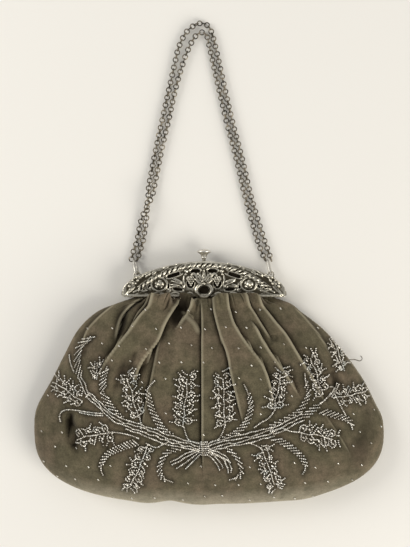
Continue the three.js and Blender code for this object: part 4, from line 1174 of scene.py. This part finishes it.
# Bails: long drop-shaped silver rings that hang in the lugs and hold both strands of the handle. Each is one
# wire, bent round and soldered, a little thicker along its straight sides.

BAIL_HALF_LONG, BAIL_HALF_WIDE, BAIL_STRAIGHT = 6.4, 2.1, 1.6
BAIL_WIRE, BAIL_SWELL, BAIL_POINTS, BAIL_SIDES = 0.7, 0.4, 48, 10
BAIL_DROP, BAIL_YAW = math.radians(20), math.radians(12)
LUG_X, LUG_Y, LUG_Z, LUG_HALF = 56.5, 105.6, SEAM_Z - 3, 2.4


def turn_about(axis, angle):
    """Matrix of a turn about one of the axes."""
    c, s = math.cos(angle), math.sin(angle)
    i, j = {"X": (1, 2), "Y": (2, 0), "Z": (0, 1)}[axis]
    matrix = np.eye(3)
    matrix[i, i], matrix[j, j], matrix[i, j], matrix[j, i] = c, c, -s, s
    return matrix


for name, side, roll in (("bail_left", -1, 62), ("bail_right", 1, 76)):
    angle = around(BAIL_POINTS)
    bow = np.sin(angle)
    straight = (BAIL_HALF_LONG - BAIL_HALF_WIDE) * np.clip(bow * BAIL_STRAIGHT, -1, 1)
    path = np.column_stack([
        BAIL_HALF_WIDE * np.cos(angle), BAIL_HALF_LONG + straight + BAIL_HALF_WIDE * bow,
        np.zeros(BAIL_POINTS)])
    pose = turn_about("Z", BAIL_YAW) @ turn_about("X", -BAIL_DROP) @ turn_about("Y", math.radians(roll))
    path = path @ pose.T + (side * LUG_X, LUG_Y, LUG_Z + LUG_HALF * math.tan(BAIL_DROP))
    bail_points, bail_faces = tube(path, BAIL_WIRE + BAIL_SWELL * np.cos(angle) ** 2, BAIL_SIDES, closed=True)
    bail = new_piece(f"{name}_ring", bail_points * MM, bail_faces, smooth=True)
    bail.data.materials.append(rubbed_silver)
    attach(bail, "bag")
    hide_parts(name)


# Handle: two strands of round wire links, each link turned square to the next, laid out on the surface from
# one bail to the other. The strands cross once on the left.

LINK_DIAMETER, LINK_WIRE, LINK_PITCH = 5.1, 0.95, 3.28
LINK_SIDES, LINK_WIRE_SIDES = 14, 6
LINK_LOOSE = 0.2
STRAND_HEIGHT, STRAND_POINTS = 2.4, 600
STRAND_PULL = 0.45
PULL_IN, PULL_OUT = (4.9, 5.2), (6.2, 7)
STRAND_ROLLS = {"chain_first": 0.1, "chain_second": 0.1 + math.pi / 2}

FIRST_STRAND = [
    (-62, 118.5), (-60.4, 125), (-57.3, 134.2), (-54.8, 147.5), (-51.4, 157.7), (-47.2, 165.4), (-43.7, 172),
    (-41.5, 181.5), (-38.8, 195.2), (-34.9, 214.8), (-30.2, 234.2), (-23.9, 262.5), (-17.2, 286.9),
    (-11.9, 300), (-7.2, 308), (-1.8, 311.2), (2.2, 307.5), (3.9, 300), (6.4, 289.1), (12.4, 262.5),
    (19, 234.2), (24.2, 214.8), (29.1, 195.2), (33.5, 175.7), (38.7, 156.2), (44.3, 136.6), (48.4, 125),
    (51.2, 118.5)]
SECOND_STRAND = [
    (-56.1, 118.5), (-54.1, 125), (-51.4, 134.2), (-49.4, 146), (-48.4, 154), (-48, 163), (-47.4, 172),
    (-47.1, 181), (-44.6, 195.2), (-40.7, 214.8), (-36.5, 234.2), (-30.3, 262.5), (-24.4, 286.9),
    (-21.3, 299), (-15.2, 311), (-7.7, 317.4), (-0.6, 318.8), (5.2, 314.6), (8.4, 306), (12.4, 289.1),
    (18.3, 262.5), (24.8, 234.2), (30, 214.8), (34.9, 195.2), (39.3, 175.7), (44.9, 156.2), (51, 136.6),
    (55.1, 125), (57.3, 118.5)]
# How much higher the second strand lies at the points where it passes over the first one.
CROSSING_RISE = {3: 1.2, 4: 4.2, 5: 5.8, 6: 4.3, 7: 1.2}

link_tree = bpy.data.node_groups.new("links_on_strand", "GeometryNodeTree")
given = inputs_of(link_tree, Strand="Geometry", Radius="Float", Wire="Float", Pitch="Float", Roll="Float",
                  Metal="Material")
link_tree.interface.new_socket("Links", in_out="OUTPUT", socket_type="NodeSocketGeometry")
hoop = circle(link_tree, LINK_SIDES, given["Radius"])
bent_wire = swept(link_tree, hoop, circle(link_tree, LINK_WIRE_SIDES, given["Wire"]))
link = add(link_tree, "GeometryNodeSetShadeSmooth", {"Geometry": bent_wire}).outputs[0]
along = add(link_tree, "GeometryNodeInputTangent").outputs[0]
flat = aligned(link_tree, {"Vector": (0, 0, 1)}, axis="Z")
led = aligned(link_tree, {"Rotation": flat, "Vector": along}, axis="X", pivot_axis="Z")
number = add(link_tree, "GeometryNodeInputIndex").outputs[0]
odd = calc(link_tree, "MODULO", number, 2.0)
quarter = calc(link_tree, "MULTIPLY_ADD", odd, math.pi / 2, given["Roll"])
roll = calc(link_tree, "ADD", quarter, random_value(link_tree, -LINK_LOOSE, LINK_LOOSE, 3))
rolled = add(link_tree, "FunctionNodeAxisAngleToRotation", {"Axis": (1, 0, 0), "Angle": roll})
posed = add(link_tree, "FunctionNodeRotateRotation", {"Rotation": led, "Rotate By": rolled.outputs[0]},
            rotation_space="LOCAL")
chained = add(link_tree, "GeometryNodeInstanceOnPoints", {
    "Points": spaced_along(link_tree, given["Strand"], given["Pitch"]), "Instance": link,
    "Rotation": posed.outputs[0]})
add(link_tree, "NodeGroupOutput", {"Links": made_real(link_tree, chained.outputs[0], given["Metal"])})

dull_wire = tarnished("dull_wire", (0.6, 0.52, 0.38, 1), (0.018, 0.014, 0.008, 1), 1.35)
routes = {}
for name, route, rises in (("chain_first", FIRST_STRAND, {}), ("chain_second", SECOND_STRAND, CROSSING_RISE)):
    stations = [(x, y, STRAND_HEIGHT + rises.get(i, 0)) for i, (x, y) in enumerate(route)]
    routes[name] = spline(stations, np.linspace(0, len(stations) - 1, STRAND_POINTS))
for name, other in (("chain_first", "chain_second"), ("chain_second", "chain_first")):
    # Where the strands run side by side, their links lie against one another.
    away = routes[other][None] - routes[name][:, None]
    gaps = np.linalg.norm(away, axis=2)
    nearest = gaps.argmin(axis=1)
    reach = gaps.min(axis=1)
    pull = STRAND_PULL * window(reach, PULL_IN, PULL_OUT) / reach
    path = (routes[name] + away[np.arange(len(nearest)), nearest] * pull[:, None]) * MM
    strand = new_piece(f"{name}_links", path, [], [(i, i + 1) for i in range(len(path) - 1)])
    grow(strand, link_tree, Radius=(LINK_DIAMETER - LINK_WIRE) / 2 * MM, Wire=LINK_WIRE / 2 * MM,
         Pitch=LINK_PITCH * MM, Roll=STRAND_ROLLS[name], Metal=dull_wire)
    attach(strand, "bag")
    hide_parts(name)


# Surface: a plain pale table top under soft daylight from a wide window on the right, seen from straight
# above, with the camera over the middle of the bag and its handle.

FLOOR_HALF, FLOOR_Z = 2, -0.0004
GREYER_PAPER, WHITER_PAPER = (0.745, 0.721, 0.666, 1), (0.774, 0.75, 0.695, 1)
corners = [(x * FLOOR_HALF, y * FLOOR_HALF, FLOOR_Z) for x, y in ((-1, -1), (1, -1), (1, 1), (-1, 1))]
floor = new_piece("floor", corners, [(0, 1, 2, 3)])
paper, tree, shader = new_material("paper")
shade = blend_colors(tree, noise(tree, object_place(tree), 3, 2), GREYER_PAPER, WHITER_PAPER)
connect(tree, shader, {"Base Color": shade, "Roughness": 0.9})
floor.data.materials.append(paper)

scene = bpy.context.scene
scene.view_settings.view_transform = "Standard"
PALE_WALL, DIM_CEILING = (0.95, 0.955, 0.975, 1), (0.2, 0.2, 0.205, 1)
world = bpy.data.worlds.new("room")
world.use_nodes = True
tree = world.node_tree
towards = add(tree, "ShaderNodeSeparateXYZ", {"Vector": add(tree, "ShaderNodeTexCoord").outputs["Generated"]})
walls = blend_colors(tree, spread(tree, towards.outputs["Z"], 0.25, 0.95), PALE_WALL, DIM_CEILING)
connect(tree, tree.nodes["Background"], {"Color": walls})
scene.world = world
LIGHT_AIM = Vector((0, 0.05, 0))


def soft_light(name, place, size, watts, color):
    """Square lamp that faces the middle of the bag."""
    lamp = bpy.data.lights.new(name, "AREA")
    lamp.energy, lamp.size, lamp.color = watts, size, color
    holder = bpy.data.objects.new(name, lamp)
    holder.location = place
    holder.rotation_euler = (LIGHT_AIM - Vector(place)).to_track_quat("-Z", "Y").to_euler()
    scene.collection.objects.link(holder)


soft_light("window", (1.6, -1.15, 1.25), 1.6, 51, (1, 0.965, 0.9))
soft_light("lamp", (-1.4, 0.6, 1.0), 1, 17, (1, 0.985, 0.95))

CAMERA_PLACE = (0.00084, 0.1063, 0.85)
camera = bpy.data.cameras.new("camera")
camera.sensor_fit = "VERTICAL"
camera.sensor_height = 36
camera.lens = 65.65
camera_holder = bpy.data.objects.new("camera", camera)
camera_holder.location = CAMERA_PLACE
scene.collection.objects.link(camera_holder)
scene.camera = camera_holder
